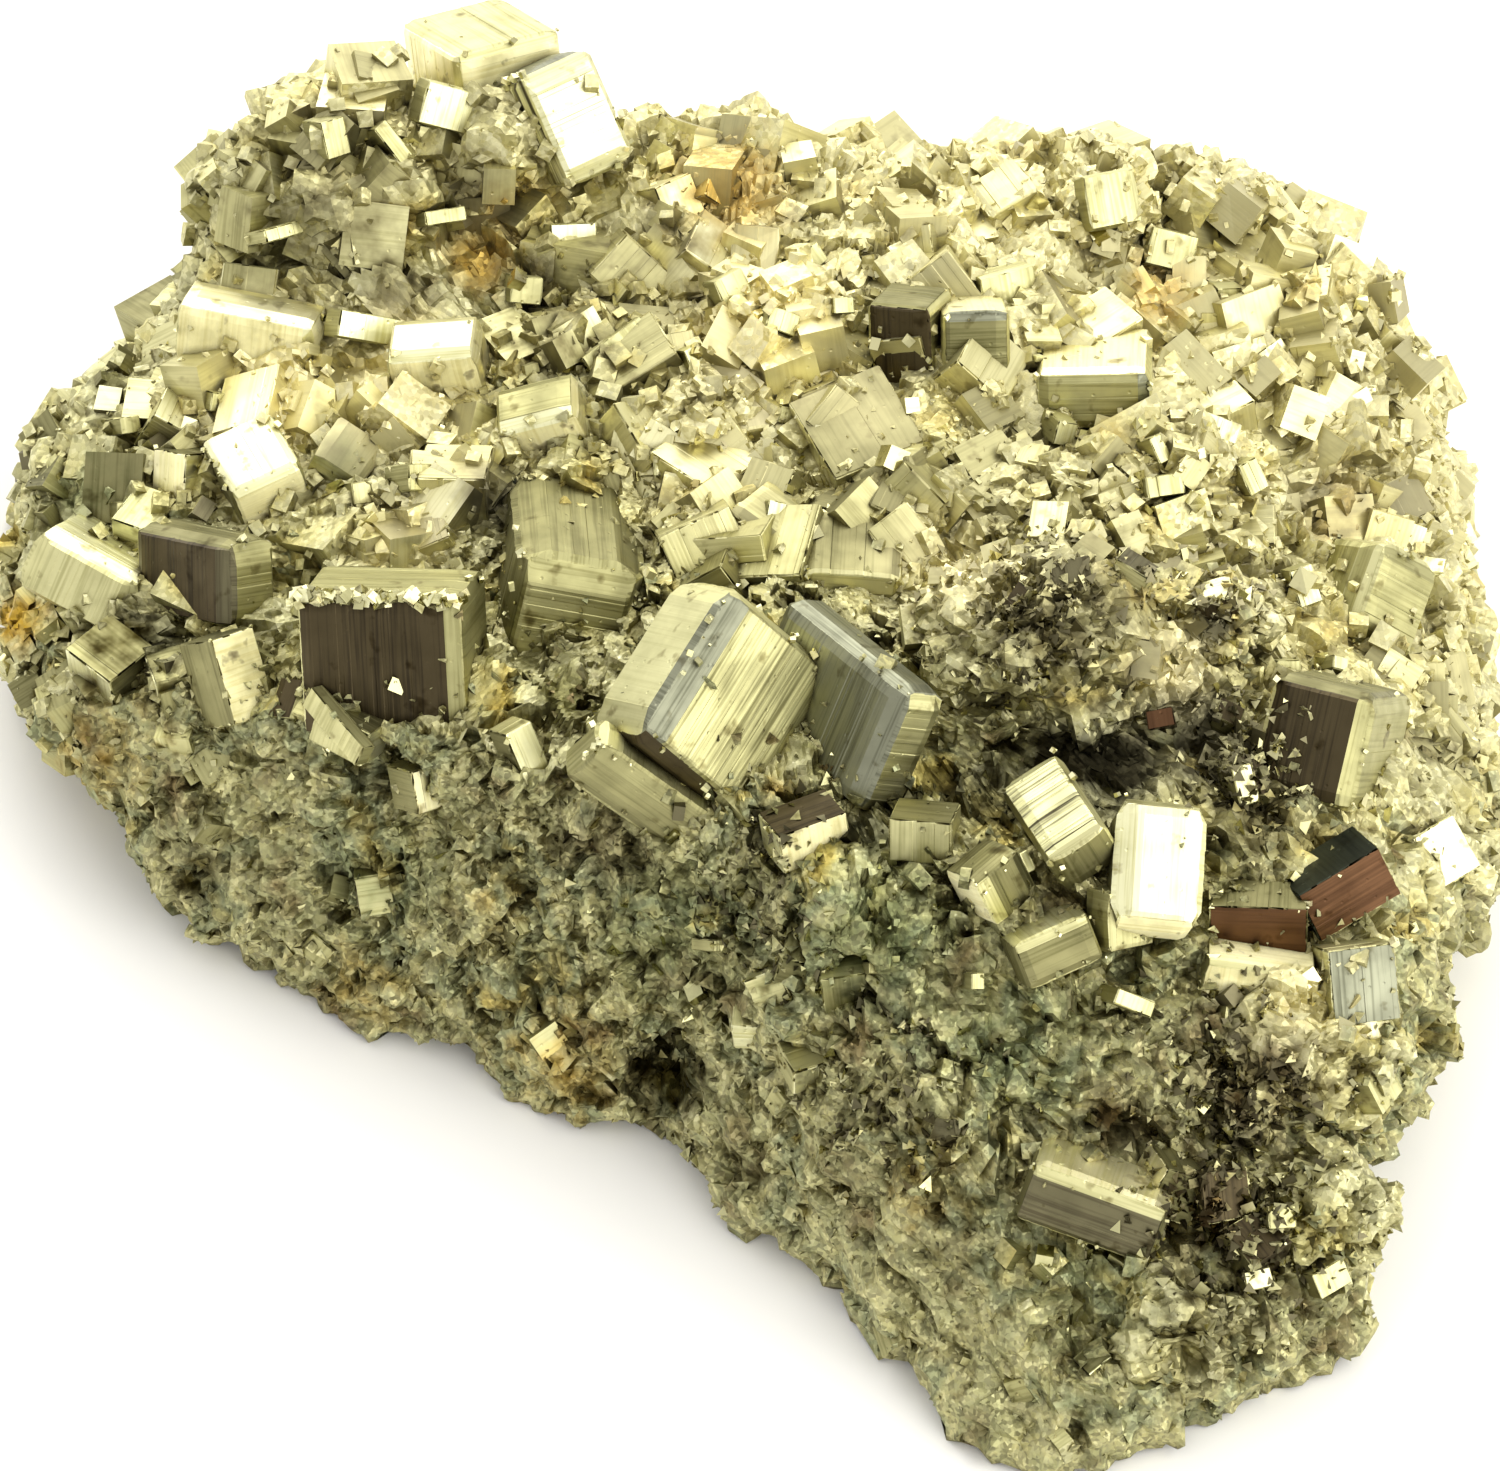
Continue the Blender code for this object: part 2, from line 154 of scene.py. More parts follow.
def unseen(across, up, near):
    """The point at a place in the view."""
    return sight_frame() @ Vector((across, up, near)) + MIDDLE


def rim_reach(across, up):
    """Distance to RIM from HEART's place in the view, for directions in the view."""
    heart = seen(HEART)
    rim = np.array(RIM) - np.array((heart.x, heart.y))
    reach = np.full(len(across), np.inf)
    for start, end in zip(rim, np.roll(rim, -1, axis=0)):
        edge = end - start
        turn = across * edge[1] - up * edge[0]
        with np.errstate(divide="ignore", invalid="ignore"):
            far = (start[0] * edge[1] - start[1] * edge[0]) / turn
            along = (start[0] * up - start[1] * across) / turn
        hit = (far > 0) & (along >= 0) & (along <= 1)
        reach[hit] = np.minimum(reach[hit], far[hit])
    return reach


def within(sides, directions):
    """Distance from HEART to the nearest of some broad faces, rounded where they meet."""
    total = np.zeros(len(directions))
    for compass, tilt, distance in sides:
        share = np.clip(directions @ facing(compass, tilt), 0, None)
        total += (share / distance) ** BLEND
    return total ** (-1 / BLEND)


def body_reach(directions):
    """Distance from HEART to the smooth surface of the body, front and lobe joined."""
    main = within(SIDES + (MAIN_FRONT,), directions)
    lobe = within(SIDES + (LOBE_FLANK,), directions)
    both = np.maximum(main, lobe)
    view = directions @ np.array(sight_frame())
    flat = np.maximum(np.hypot(view[:, 0], view[:, 1]), NEARLY_NONE)
    rim = rim_reach(view[:, 0] / flat, view[:, 1] / flat) / flat
    return (both ** -RIM_BLEND + rim ** -RIM_BLEND) ** (-1 / RIM_BLEND)


def ball(rounds):
    """A ball of radius 1 whose triangles are halved some rounds."""
    mesh = bmesh.new()
    bmesh.ops.create_icosphere(mesh, subdivisions=rounds, radius=1)
    return mesh


def body_mesh(rounds, hollows):
    """The body in mm, with hollows given as middle, radius and depth."""
    mesh = ball(rounds)
    directions = np.array([v.co.normalized() for v in mesh.verts])
    offsets = directions * body_reach(directions)[:, None]
    far = np.linalg.norm(offsets, axis=1)
    for size, height in GRAIN:
        far += [noise.fractal(Vector(o) / size, *FRACTAL) * height for o in offsets]
    for centre, radius, depth in hollows:
        gap = np.linalg.norm(offsets + np.array(HEART - centre), axis=1) / radius
        far -= depth * np.exp(-gap * gap)
    for vert, direction, reach in zip(mesh.verts, directions, far):
        vert.co = HEART + Vector(direction) * reach
    return mesh


def meet(tree, across, up):
    """Where a sight line first meets a surface."""
    return tree.ray_cast(unseen(across, up, EYE), -towards)[0]


def arrays_of(mesh):
    """A triangle bmesh as its points and its faces."""
    mesh.verts.ensure_lookup_table()
    points = np.array([v.co for v in mesh.verts])
    faces = np.array([[v.index for v in f.verts] for f in mesh.faces])
    return points, faces


smooth = body_mesh(COARSE, [])
smooth_tree = BVHTree.FromBMesh(smooth)
hollows = [(meet(smooth_tree, a, u), r, d) for a, u, r, d in HOLLOWS]
smooth.free()
body = body_mesh(COARSE, hollows)
body_tree = BVHTree.FromBMesh(body)
fine_body = body_mesh(FINE, hollows)

# Broken ground: the surface is made of flat facets, each a cell with a tilt of its
# own, coarse on the top where crystals have merged and fine on the broken front.
# Size of the cells, slope of the facets and how far they stand out, in mm; then grit.
TOP_CHIPS = ((2.8, 0.30, 0.30), (1.2, 0.35, 0.14))
FRONT_CHIPS = ((2.2, 0.28, 0.30), (1.0, 0.40, 0.16))
TOP_GRIT = 0.012
FRONT_GRIT = 0.022
# How the cells' middles are strewn: the step of a grid, in cells, and the share kept.
CELL_STEP = 0.5
CELL_SHARE = 0.35
# The broken front starts and is full where the surface leans this far to the front, and
# a surface more level than LEVEL counts as top.
FRONT_FROM = -0.05
FRONT_FULL = -0.35
LEVEL = 0.93


def facets(points, normals, chips, rng):
    """How far each point moves along its normal to lie on its cells' facets."""
    rise = np.zeros(len(points))
    for size, slope, lift in chips:
        step = CELL_STEP * size
        spots = np.unique(np.round(points / step).astype(int), axis=0) * step
        spots = spots[rng.random(len(spots)) < CELL_SHARE]
        spots += rng.uniform(-0.5, 0.5, spots.shape) * size
        tree = kdtree.KDTree(len(spots))
        for i, spot in enumerate(spots):
            tree.insert(spot, i)
        tree.balance()
        cell = np.array([tree.find(p)[1] for p in points])
        ways = rng.normal(size=spots.shape)
        ways /= np.linalg.norm(ways, axis=1)[:, None]
        rise += ((points - spots[cell]) * ways[cell]).sum(1) * slope
        rise += rng.uniform(-lift, lift, len(spots))[cell]
    return rise


def frontness(normals):
    """1 on the broken front, 0 on top and behind, from the surface's direction."""
    share = (normals[:, 1] - FRONT_FROM) / (FRONT_FULL - FRONT_FROM)
    return np.clip(share, 0, 1) * (normals[:, 2] < LEVEL)


def broken(points, normals, rng):
    """The points moved onto facets and roughened with grit."""
    front = frontness(normals)
    rise = facets(points, normals, TOP_CHIPS, rng) * (1 - front)
    rise += facets(points, normals, FRONT_CHIPS, rng) * front
    rise += rng.normal(size=len(points)) * (TOP_GRIT + (FRONT_GRIT - TOP_GRIT) * front)
    return points + normals * rise[:, None]


def linear(code):
    """An sRGB hex colour as linear red, green, blue and alpha."""
    parts = [int(code[i : i + 2], 16) / 255 for i in (1, 3, 5)]
    return [p / 12.92 if p < 0.04045 else ((p + 0.055) / 1.055) ** 2.4 for p in parts] + [1]


def node(material, kind, inputs=None, stops=(), **settings):
    """A new node. Each input is a value, or a node or its socket to link from.

    stops are the places and hex colours of a colour ramp.
    """
    made = material.node_tree.nodes.new("ShaderNode" + kind)
    for i, (place, code) in enumerate(stops):
        points = made.color_ramp.elements
        point = points[i] if i < len(points) else points.new(place)
        point.position = place
        point.color = linear(code)
    for key, value in settings.items():
        setattr(made, key, value)
    for key, value in (inputs or {}).items():
        if isinstance(value, bpy.types.Node):
            value = value.outputs[0]
        if isinstance(value, bpy.types.NodeSocket):
            material.node_tree.links.new(value, made.inputs[key])
        else:
            made.inputs[key].default_value = value
    return made


def new_metal(name, roughness):
    """A material whose only shader is a metal, and that shader."""
    made = bpy.data.materials.new(name)
    made.use_nodes = True
    shader = made.node_tree.nodes["Principled BSDF"]
    shader.inputs["Metallic"].default_value = 1.0
    shader.inputs["Roughness"].default_value = roughness
    return made, shader


# The size of the ragged edges of patches in mm, and the strength, with that raggedness,
# from which a film shows and at which it covers all.
RAGGED = 0.9
FILM_FROM = 0.62
FILM_FULL = 1.15


def patched(material, colour, gap):
    """The colour under each film, with painted shade in gaps of a size, and painted light."""
    place = node(material, "TexCoord").outputs["Object"]
    ragged = node(
        material, "TexNoise", {"Vector": place, "Scale": 1 / (RAGGED * MM), "Detail": 3}
    )
    for kind, tint in FILMS:
        amount = node(material, "Attribute", attribute_name=kind)
        edge = node(material, "Math", {0: amount.outputs["Fac"], 1: ragged}, operation="ADD")
        share = node(material, "MapRange", {0: edge, 1: FILM_FROM, 2: FILM_FULL})
        colour = node(
            material, "Mix", {0: share, 6: colour, 7: linear(tint)},
            data_type="RGBA", blend_type="MULTIPLY",
        ).outputs[2]
    # Painted shade: ambient occlusion darkens the colour in narrow gaps and at the feet of
    # crystals.
    gaps = node(material, "AmbientOcclusion", {"Distance": gap * MM}, samples=1)
    gap_shade = node(material, "ValToRGB", {"Fac": gaps.outputs["AO"]}, PAINTED_GAP_SHADE)
    shaded_colour = node(
        material, "Mix", {0: 1.0, 6: colour, 7: gap_shade}, data_type="RGBA", blend_type="MULTIPLY"
    )
    # Painted light, stored in the attribute fresh: pale brass mixed over the colour.
    fresh = node(material, "Attribute", attribute_name="fresh")
    return node(
        material, "Mix", {0: fresh.outputs["Fac"], 6: shaded_colour.outputs[2], 7: linear(PAINTED_LIGHT_TINT)},
        data_type="RGBA",
    ).outputs[2]


# Grains come in two sizes, the coarser this many times the finer. Then the size of the
# tarnish's patches in mm and how much rougher and smoother than the mean a grain can be.
COARSER = 2.6
PATCH = 3.0
GLOSS = (1.3, 0.7)


def grainy_pyrite(name, grain, colours, film, roughness, tilt):
    """Fine-grained metal: every grain is a tiny mirror with its own tilt and tone.

    grain is the grains' size in mm, colours the tones of the grains from dark to
    bright, and film the tints of the tarnish, in patches some millimetres across.
    """
    made, shader = new_metal(name, roughness)
    place = node(made, "TexCoord").outputs["Object"]
    normal = None
    for size in (grain * COARSER, grain):
        cells = node(made, "TexVoronoi", {"Vector": place, "Scale": 1 / (size * MM)})
        gap = node(
            made, "VectorMath", {0: place, 1: cells.outputs["Position"]}, operation="SUBTRACT"
        )
        way = node(
            made, "VectorMath",
            {0: cells.outputs["Color"], 1: (0.5, 0.5, 0.5)}, operation="SUBTRACT",
        )
        height = node(made, "VectorMath", {0: gap, 1: way}, operation="DOT_PRODUCT")
        bump = {"Height": height.outputs["Value"], "Distance": 1.0, "Strength": tilt}
        if normal:
            bump["Normal"] = normal
        normal = node(made, "Bump", bump)
    tone = node(made, "SeparateColor", {0: cells.outputs["Color"]})
    tones = node(made, "ValToRGB", {"Fac": tone}, colours)
    patches = node(made, "TexNoise", {"Vector": place, "Scale": 1 / (PATCH * MM), "Detail": 3})
    tints = node(made, "ValToRGB", {"Fac": patches}, film)
    filmed = node(
        made, "Mix", {0: 1.0, 6: tones, 7: tints}, data_type="RGBA", blend_type="MULTIPLY"
    )
    most, least = (roughness * share for share in GLOSS)
    gloss = node(made, "MapRange", {0: tone.outputs[1], 1: 0.0, 2: 1.0, 3: most, 4: least})
    links = made.node_tree.links
    links.new(patched(made, filmed.outputs[2], CRUST_GAP), shader.inputs["Base Color"])
    links.new(gloss.outputs[0], shader.inputs["Roughness"])
    links.new(normal.outputs[0], shader.inputs["Normal"])
    return made


# Painted shade lies in the gaps: how far apart their sides are in mm, in the crust and beside
# the crystals, and its tint from the bottom of a gap to the open.
CRUST_GAP = 0.9
CRYSTAL_GAP = 0.3
PAINTED_GAP_SHADE = ((0.0, "#857c5b"), (0.35, "#c8c2a3"), (0.65, "#f3f0e3"), (0.85, "#ffffff"))
# Painted light, partly the paler colour of fresh crust: its tint, the way as seen in which the
# crust gets lighter, from where and up to where in mm, and how much. Spots of painted
# highlight elsewhere: across, up, radius and share.
PAINTED_LIGHT_TINT = "#fbf1bd"
LIT_WAY = (0.5, 0.87)
LIT_FROM = 4.0
LIT_FULL = 20.0
LIT_SHARE = 0.35
PAINTED_LIGHT_SPOTS = (
    (0.8, 14.6, 3.2, 0.85), (-1.2, 10.6, 3.4, 0.4), (-12.0, 6.9, 1.8, 0.5),
    (-12.4, 12.4, 2.6, 0.75), (-16.6, 12.0, 3.0, 0.7), (7.0, 6.2, 2.4, 0.5),
    (-10.4, 9.6, 2.2, 0.4), (4.0, 11.6, 2.4, 0.3), (14.6, 2.4, 1.7, 0.6), (19.4, -8.8, 2.0, 0.5),
)

# Films of tarnish, near-black painted shade in crevices and hollows, ochre rust, a faint
# blue-green film and a brown one, with their tints. Then where each lies as seen: across,
# up, radius and strength. Every hollow gets this painted shade too, this strong for each mm
# of its depth and this many times wider than high.
FILMS = (
    ("tarnish", "#6f6746"), ("cleft_shade", "#1f1b12"), ("rust", "#f1cc6c"), ("bluing", "#c4cfc4"),
    ("umber", "#7d6c5e"),
)
SHADE_PER_DEPTH = 0.22
SQUEEZE = 1.5
PATCHES = {
    # Mostly real tarnish; the spot at -21.7 across, 3.3 up is a painted shadow at the left rim.
    "tarnish": (
        (-14.7, 18.0, 3.2, 0.45), (-9.8, 19.1, 1.3, 0.6), (-12.2, 15.2, 1.7, 0.6),
        (10.4, 3.8, 2.8, 0.55), (12.4, 5.0, 2.2, 0.5), (-8.0, -4.4, 3.0, 0.2),
        (0.0, -5.6, 3.0, 0.25), (6.4, -5.6, 3.0, 0.2), (-21.7, 3.3, 1.6, 0.6),
        (-19.2, -4.7, 1.2, 0.6), (-2.8, -11.9, 1.3, 0.8), (-3.9, -4.2, 1.6, 0.4),
        (22.0, 9.8, 1.8, 0.35), (-7.0, 13.6, 2.2, 0.45), (-7.4, 7.4, 1.6, 0.5),
        (17.4, -2.6, 2.2, 0.6), (14.2, 2.0, 2.4, 0.6), (-2.4, 17.2, 2.4, 0.4),
        (7.0, -17.1, 2.4, 0.35), (15.6, -20.6, 2.6, 0.4), (5.2, -13.7, 2.6, 0.35),
    ),
    # Painted shade: the black band under the overhang of the middle mass and other shaded hollows.
    "cleft_shade": (
        (5.4, -2.4, 1.2, 0.6), (8.6, -2.2, 1.3, 0.5), (10.6, -0.8, 1.2, 1.0),
        (12.6, -1.0, 1.6, 1.0), (15.4, 0.4, 1.6, 0.8), (15.9, 3.7, 0.9, 0.8),
        (-9.0, 8.4, 1.0, 0.9), (-14.5, 9.8, 0.6, 0.5),
    ),
    "bluing": (
        (-14.5, 9.8, 0.9, 0.9), (-22.8, 8.6, 1.6, 0.5), (4.5, -6.6, 3.4, 0.6),
        (-2.6, -6.4, 3.4, 0.45), (9.0, -10.4, 3.6, 0.45), (-12.4, -5.0, 3.4, 0.35),
        (11.6, -19.4, 3.0, 0.3),
    ),
    "umber": (
        (17.6, -12.0, 2.6, 0.55), (15.6, -16.4, 2.2, 0.6), (12.4, -13.2, 1.6, 0.6),
        (-5.2, -3.6, 1.6, 0.5), (10.6, -6.0, 1.2, 0.5),
    ),
    "rust": (
        (-0.7, 19.1, 1.7, 0.9), (14.3, 15.6, 1.1, 1.0), (-9.5, 16.6, 1.2, 0.8),
        (-25.5, 4.0, 0.9, 0.8), (-8.8, 18.6, 0.7, 0.8), (20.5, 7.9, 1.2, 0.7),
        (1.0, -1.8, 0.6, 0.4), (-13.6, -8.6, 2.2, 0.28), (-6.4, -11.4, 2.4, 0.36),
        (-22.6, -0.6, 1.8, 0.32), (-9.0, -5.6, 1.4, 0.3), (6.0, -15.6, 2.0, 0.3),
    ),
}


def in_view(points):
    """Points as seen: across, up and towards the viewer in mm."""
    return (points - np.array(MIDDLE)) @ np.array(sight_frame())


def in_spots(points, spots, least=0, squeeze=1):
    """How strong the strongest of some soft round spots is at each point."""
    view = in_view(points)
    total = np.full(len(points), float(least))
    for across, up, radius, strength in spots:
        far = np.hypot(view[:, 0] - across, (view[:, 1] - up) * squeeze) / radius
        total = np.maximum(total, strength * np.exp(-(far**2)))
    return total


def patches_at(kind, points):
    """How strong one kind of film is at each point."""
    total = in_spots(points, PATCHES[kind])
    if kind == "cleft_shade":
        # Painted shade in every hollow, stronger the deeper it is.
        shaded_hollows = [(across, up, radius, SHADE_PER_DEPTH * depth) for across, up, radius, depth in HOLLOWS]
        total = np.maximum(total, in_spots(points, shaded_hollows, squeeze=SQUEEZE))
    return total


def painted_light(points):
    """How much painted light lies on the crust at each point, more towards the back right."""
    way = in_view(points)[:, :2] @ LIT_WAY
    share = LIT_SHARE * np.clip((way - LIT_FROM) / (LIT_FULL - LIT_FROM), 0, 1)
    return np.maximum(share, in_spots(points, PAINTED_LIGHT_SPOTS))


# Merged pyrite: the fresh crust on top, satin and pale brass with a little ochre.
merged_pyrite = grainy_pyrite(
    "merged granular pyrite", 0.18,
    ((0.0, "#a9a67f"), (0.4, "#bfbc92"), (0.8, "#d1cea3"), (1.0, "#e0ddb6")),
    ((0.30, "#b7b69e"), (0.44, "#ffffff"), (0.60, "#fffbe4"), (0.70, "#f8e8b0"), (0.78, "#ecd186")),
    0.54, 0.37,
)
# Broken pyrite: the front, where the rock split. Matt and olive under patches of
# green, blue-grey, brown and yellow film, with few bright grains.
broken_pyrite = grainy_pyrite(
    "broken dull pyrite", 0.15,
    ((0.0, "#9a967c"), (0.35, "#b5b191"), (0.75, "#cac6a2"), (1.0, "#dfdab7")),
    ((0.28, "#c0b19a"), (0.40, "#dde0cc"), (0.50, "#fffee8"), (0.60, "#cdd6ca"), (0.74, "#f3e6b0")),
    0.62, 0.37,
)

# How far past the sides of the solid's box grains may reach, in mm.
SPARE = 0.3


def piece(name, points, faces, materials, slots=None, coords=None, filmed=True):
    """A mesh object in metres from arrays in mm, riding on and standing for the cluster.

    slots gives each face's material and coords each corner's place across and along
    the striations in mm. Nothing reaches more than SPARE past the solid's box.
    """
    low, high = np.array(cad_box) / MM
    points = np.clip(points, low - (SPARE, SPARE, 0), high + SPARE)
    mesh = bpy.data.meshes.new(name)
    mesh.vertices.add(len(points))
    mesh.vertices.foreach_set("co", (points * MM).astype(np.float32).ravel())
    mesh.loops.add(faces.size)
    mesh.loops.foreach_set("vertex_index", faces.astype(np.int32).ravel())
    mesh.polygons.add(len(faces))
    starts = np.arange(len(faces), dtype=np.int32) * faces.shape[1]
    mesh.polygons.foreach_set("loop_start", starts)
    for material in materials:
        mesh.materials.append(material)
    if slots is not None:
        mesh.polygons.foreach_set("material_index", slots.astype(np.int32))
    if coords is not None:
        layer = mesh.uv_layers.new(name="striae")
        layer.data.foreach_set("uv", coords.astype(np.float32).ravel())
    if filmed:
        for kind, _ in FILMS:
            layer = mesh.attributes.new(kind, "FLOAT", "POINT")
            layer.data.foreach_set("value", patches_at(kind, points).astype(np.float32))
        # Painted light, stored as fresh.
        layer = mesh.attributes.new("fresh", "FLOAT", "POINT")
        layer.data.foreach_set("value", painted_light(points).astype(np.float32))
    mesh.update(calc_edges=True)
    mesh.shade_flat()
    made = bpy.data.objects.new(name, mesh)
    bpy.context.scene.collection.objects.link(made)
    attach(made, "root")
    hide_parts("pyrite_cluster")
    return made


def cut_flat(points):
    """The points below the underside drawn towards HEART until they lie on it."""
    heart = np.array(HEART)
    low = points[:, 2] < 0
    share = heart[2] / (heart[2] - points[low, 2])
    points[low] = heart + (points[low] - heart) * share[:, None]


def part_of(points, faces, chosen):
    """The chosen faces with only the points that they use."""
    used, kept = np.unique(faces[chosen], return_inverse=True)
    return points[used], kept.reshape(-1, faces.shape[1])


def fan(points, faces):
    """The same flat surface as triangles from its middle to each edge of its outline."""
    edges = faces[:, [[0, 1], [1, 2], [2, 0]]].reshape(-1, 2)
    pairs = np.sort(edges, axis=1) @ (len(points), 1)
    _, which, uses = np.unique(pairs, return_inverse=True, return_counts=True)
    outline = edges[uses[which.ravel()] == 1]
    middle = np.full((len(outline), 1), len(points))
    points = np.concatenate([points, points.mean(0)[None]])
    return part_of(points, np.hstack([middle, outline]), slice(None))


# What every random draw starts from, how near the floor in mm counts as the underside,
# and how much front makes a surface part of the front.
SEED = 11
ON_FLOOR = 1e-9
MOSTLY = 0.5
rng = np.random.default_rng(SEED)
fine_body.normal_update()
body_normals = np.array([v.normal for v in fine_body.verts])
body_points, body_faces = arrays_of(fine_body)
fine_body.free()
on_front = frontness(body_normals[body_faces].mean(1)) > MOSTLY
body_points = broken(body_points, body_normals, rng)
cut_flat(body_points)
under = body_points[body_faces][:, :, 2].max(1) < ON_FLOOR
on_front &= ~under
on_top = ~on_front & ~under
piece("broken_front", *part_of(body_points, body_faces, on_front), [broken_pyrite])
piece("merged_top", *part_of(body_points, body_faces, on_top), [merged_pyrite])
piece("flat_break", *fan(*part_of(body_points, body_faces, under)), [broken_pyrite])

# GRAINY LUMPS
# Swellings where many small crystals grew from one point: the knob at the back left,
# the dark rough mass in the middle and smaller ones round it. Same merged pyrite.

# Across, up, rise, and half width across, half width up and half depth, in mm.
LUMPS = (
    (-14.2, 19.0, -1.0, 4.6, 3.6, 4.6), (-9.0, 20.0, 0.2, 3.0, 2.6, 3.2),
    (10.6, 3.2, 0.2, 5.0, 3.4, 3.4), (15.6, 3.6, 0.2, 2.4, 1.9, 2.2),
    (15.0, 8.6, -0.6, 3.0, 2.4, 2.4), (18.8, -11.2, -0.8, 3.4, 2.6, 2.6),
    (1.4, 14.2, -0.3, 2.7, 2.1, 2.0), (12.5, 18.2, -0.6, 1.7, 2.6, 2.0),
    (16.0, 18.4, -0.8, 2.4, 2.0, 2.2), (19.6, 12.8, -1.6, 3.4, 3.8, 3.2),
    (19.6, -16.4, -0.8, 2.4, 2.2, 2.0), (14.6, -20.4, -1.0, 3.2, 2.2, 2.2),
    (-1.6, 10.4, -0.8, 2.6, 2.0, 1.8),
)
# How finely a lump is made, how uneven it is, how many bumps go over it, and how far
# apart the lumps sit in the noise that shapes them.
LUMP_FINE = 5
LUMP_WOBBLE = 0.35
LUMP_BUMPS = 1.6
LUMP_STEP = 3.1


def lump_mesh(centre, half, seed):
    """An uneven ball with half sizes across, up and towards the viewer."""
    mesh = ball(LUMP_FINE)
    for vert in mesh.verts:
        shifted = vert.co * LUMP_BUMPS + Vector((seed, 0, 0))
        wobble = 1 + noise.noise(shifted) * LUMP_WOBBLE
        vert.co = Vector(vert.co[i] * half[i] for i in range(3)) * wobble
    mesh.transform(Matrix.Translation(centre) @ sight_frame().to_4x4())
    return mesh


def joined(parts):
    """One (points, faces) of several, and the rest of each tuple strung together."""
    shift = np.cumsum([0] + [len(part[0]) for part in parts[:-1]])
    points = np.concatenate([part[0] for part in parts])
    faces = np.concatenate([part[1] + s for part, s in zip(parts, shift)])
    return (points, faces) + tuple(np.concatenate(rest) for rest in zip(*[p[2:] for p in parts]))


def halved(quads):
    """The two triangles of each four-sided face."""
    return np.concatenate([quads[:, [0, 1, 2]], quads[:, [0, 2, 3]]])


def tree_of(points, faces):
    return BVHTree.FromPolygons(points.tolist(), faces.tolist())


lump_parts = []
for index, (across, up, rise, *half) in enumerate(LUMPS):
    centre = meet(body_tree, across, up) + towards * rise
    lump = lump_mesh(centre, half, LUMP_STEP * index)
    lump.normal_update()
    normals = np.array([v.normal for v in lump.verts])
    points, faces = arrays_of(lump)
    lump.free()
    lump_parts.append((broken(points, normals, rng), faces))
lump_points, lump_faces = joined(lump_parts)
piece("grainy_lumps", lump_points, lump_faces, [merged_pyrite])
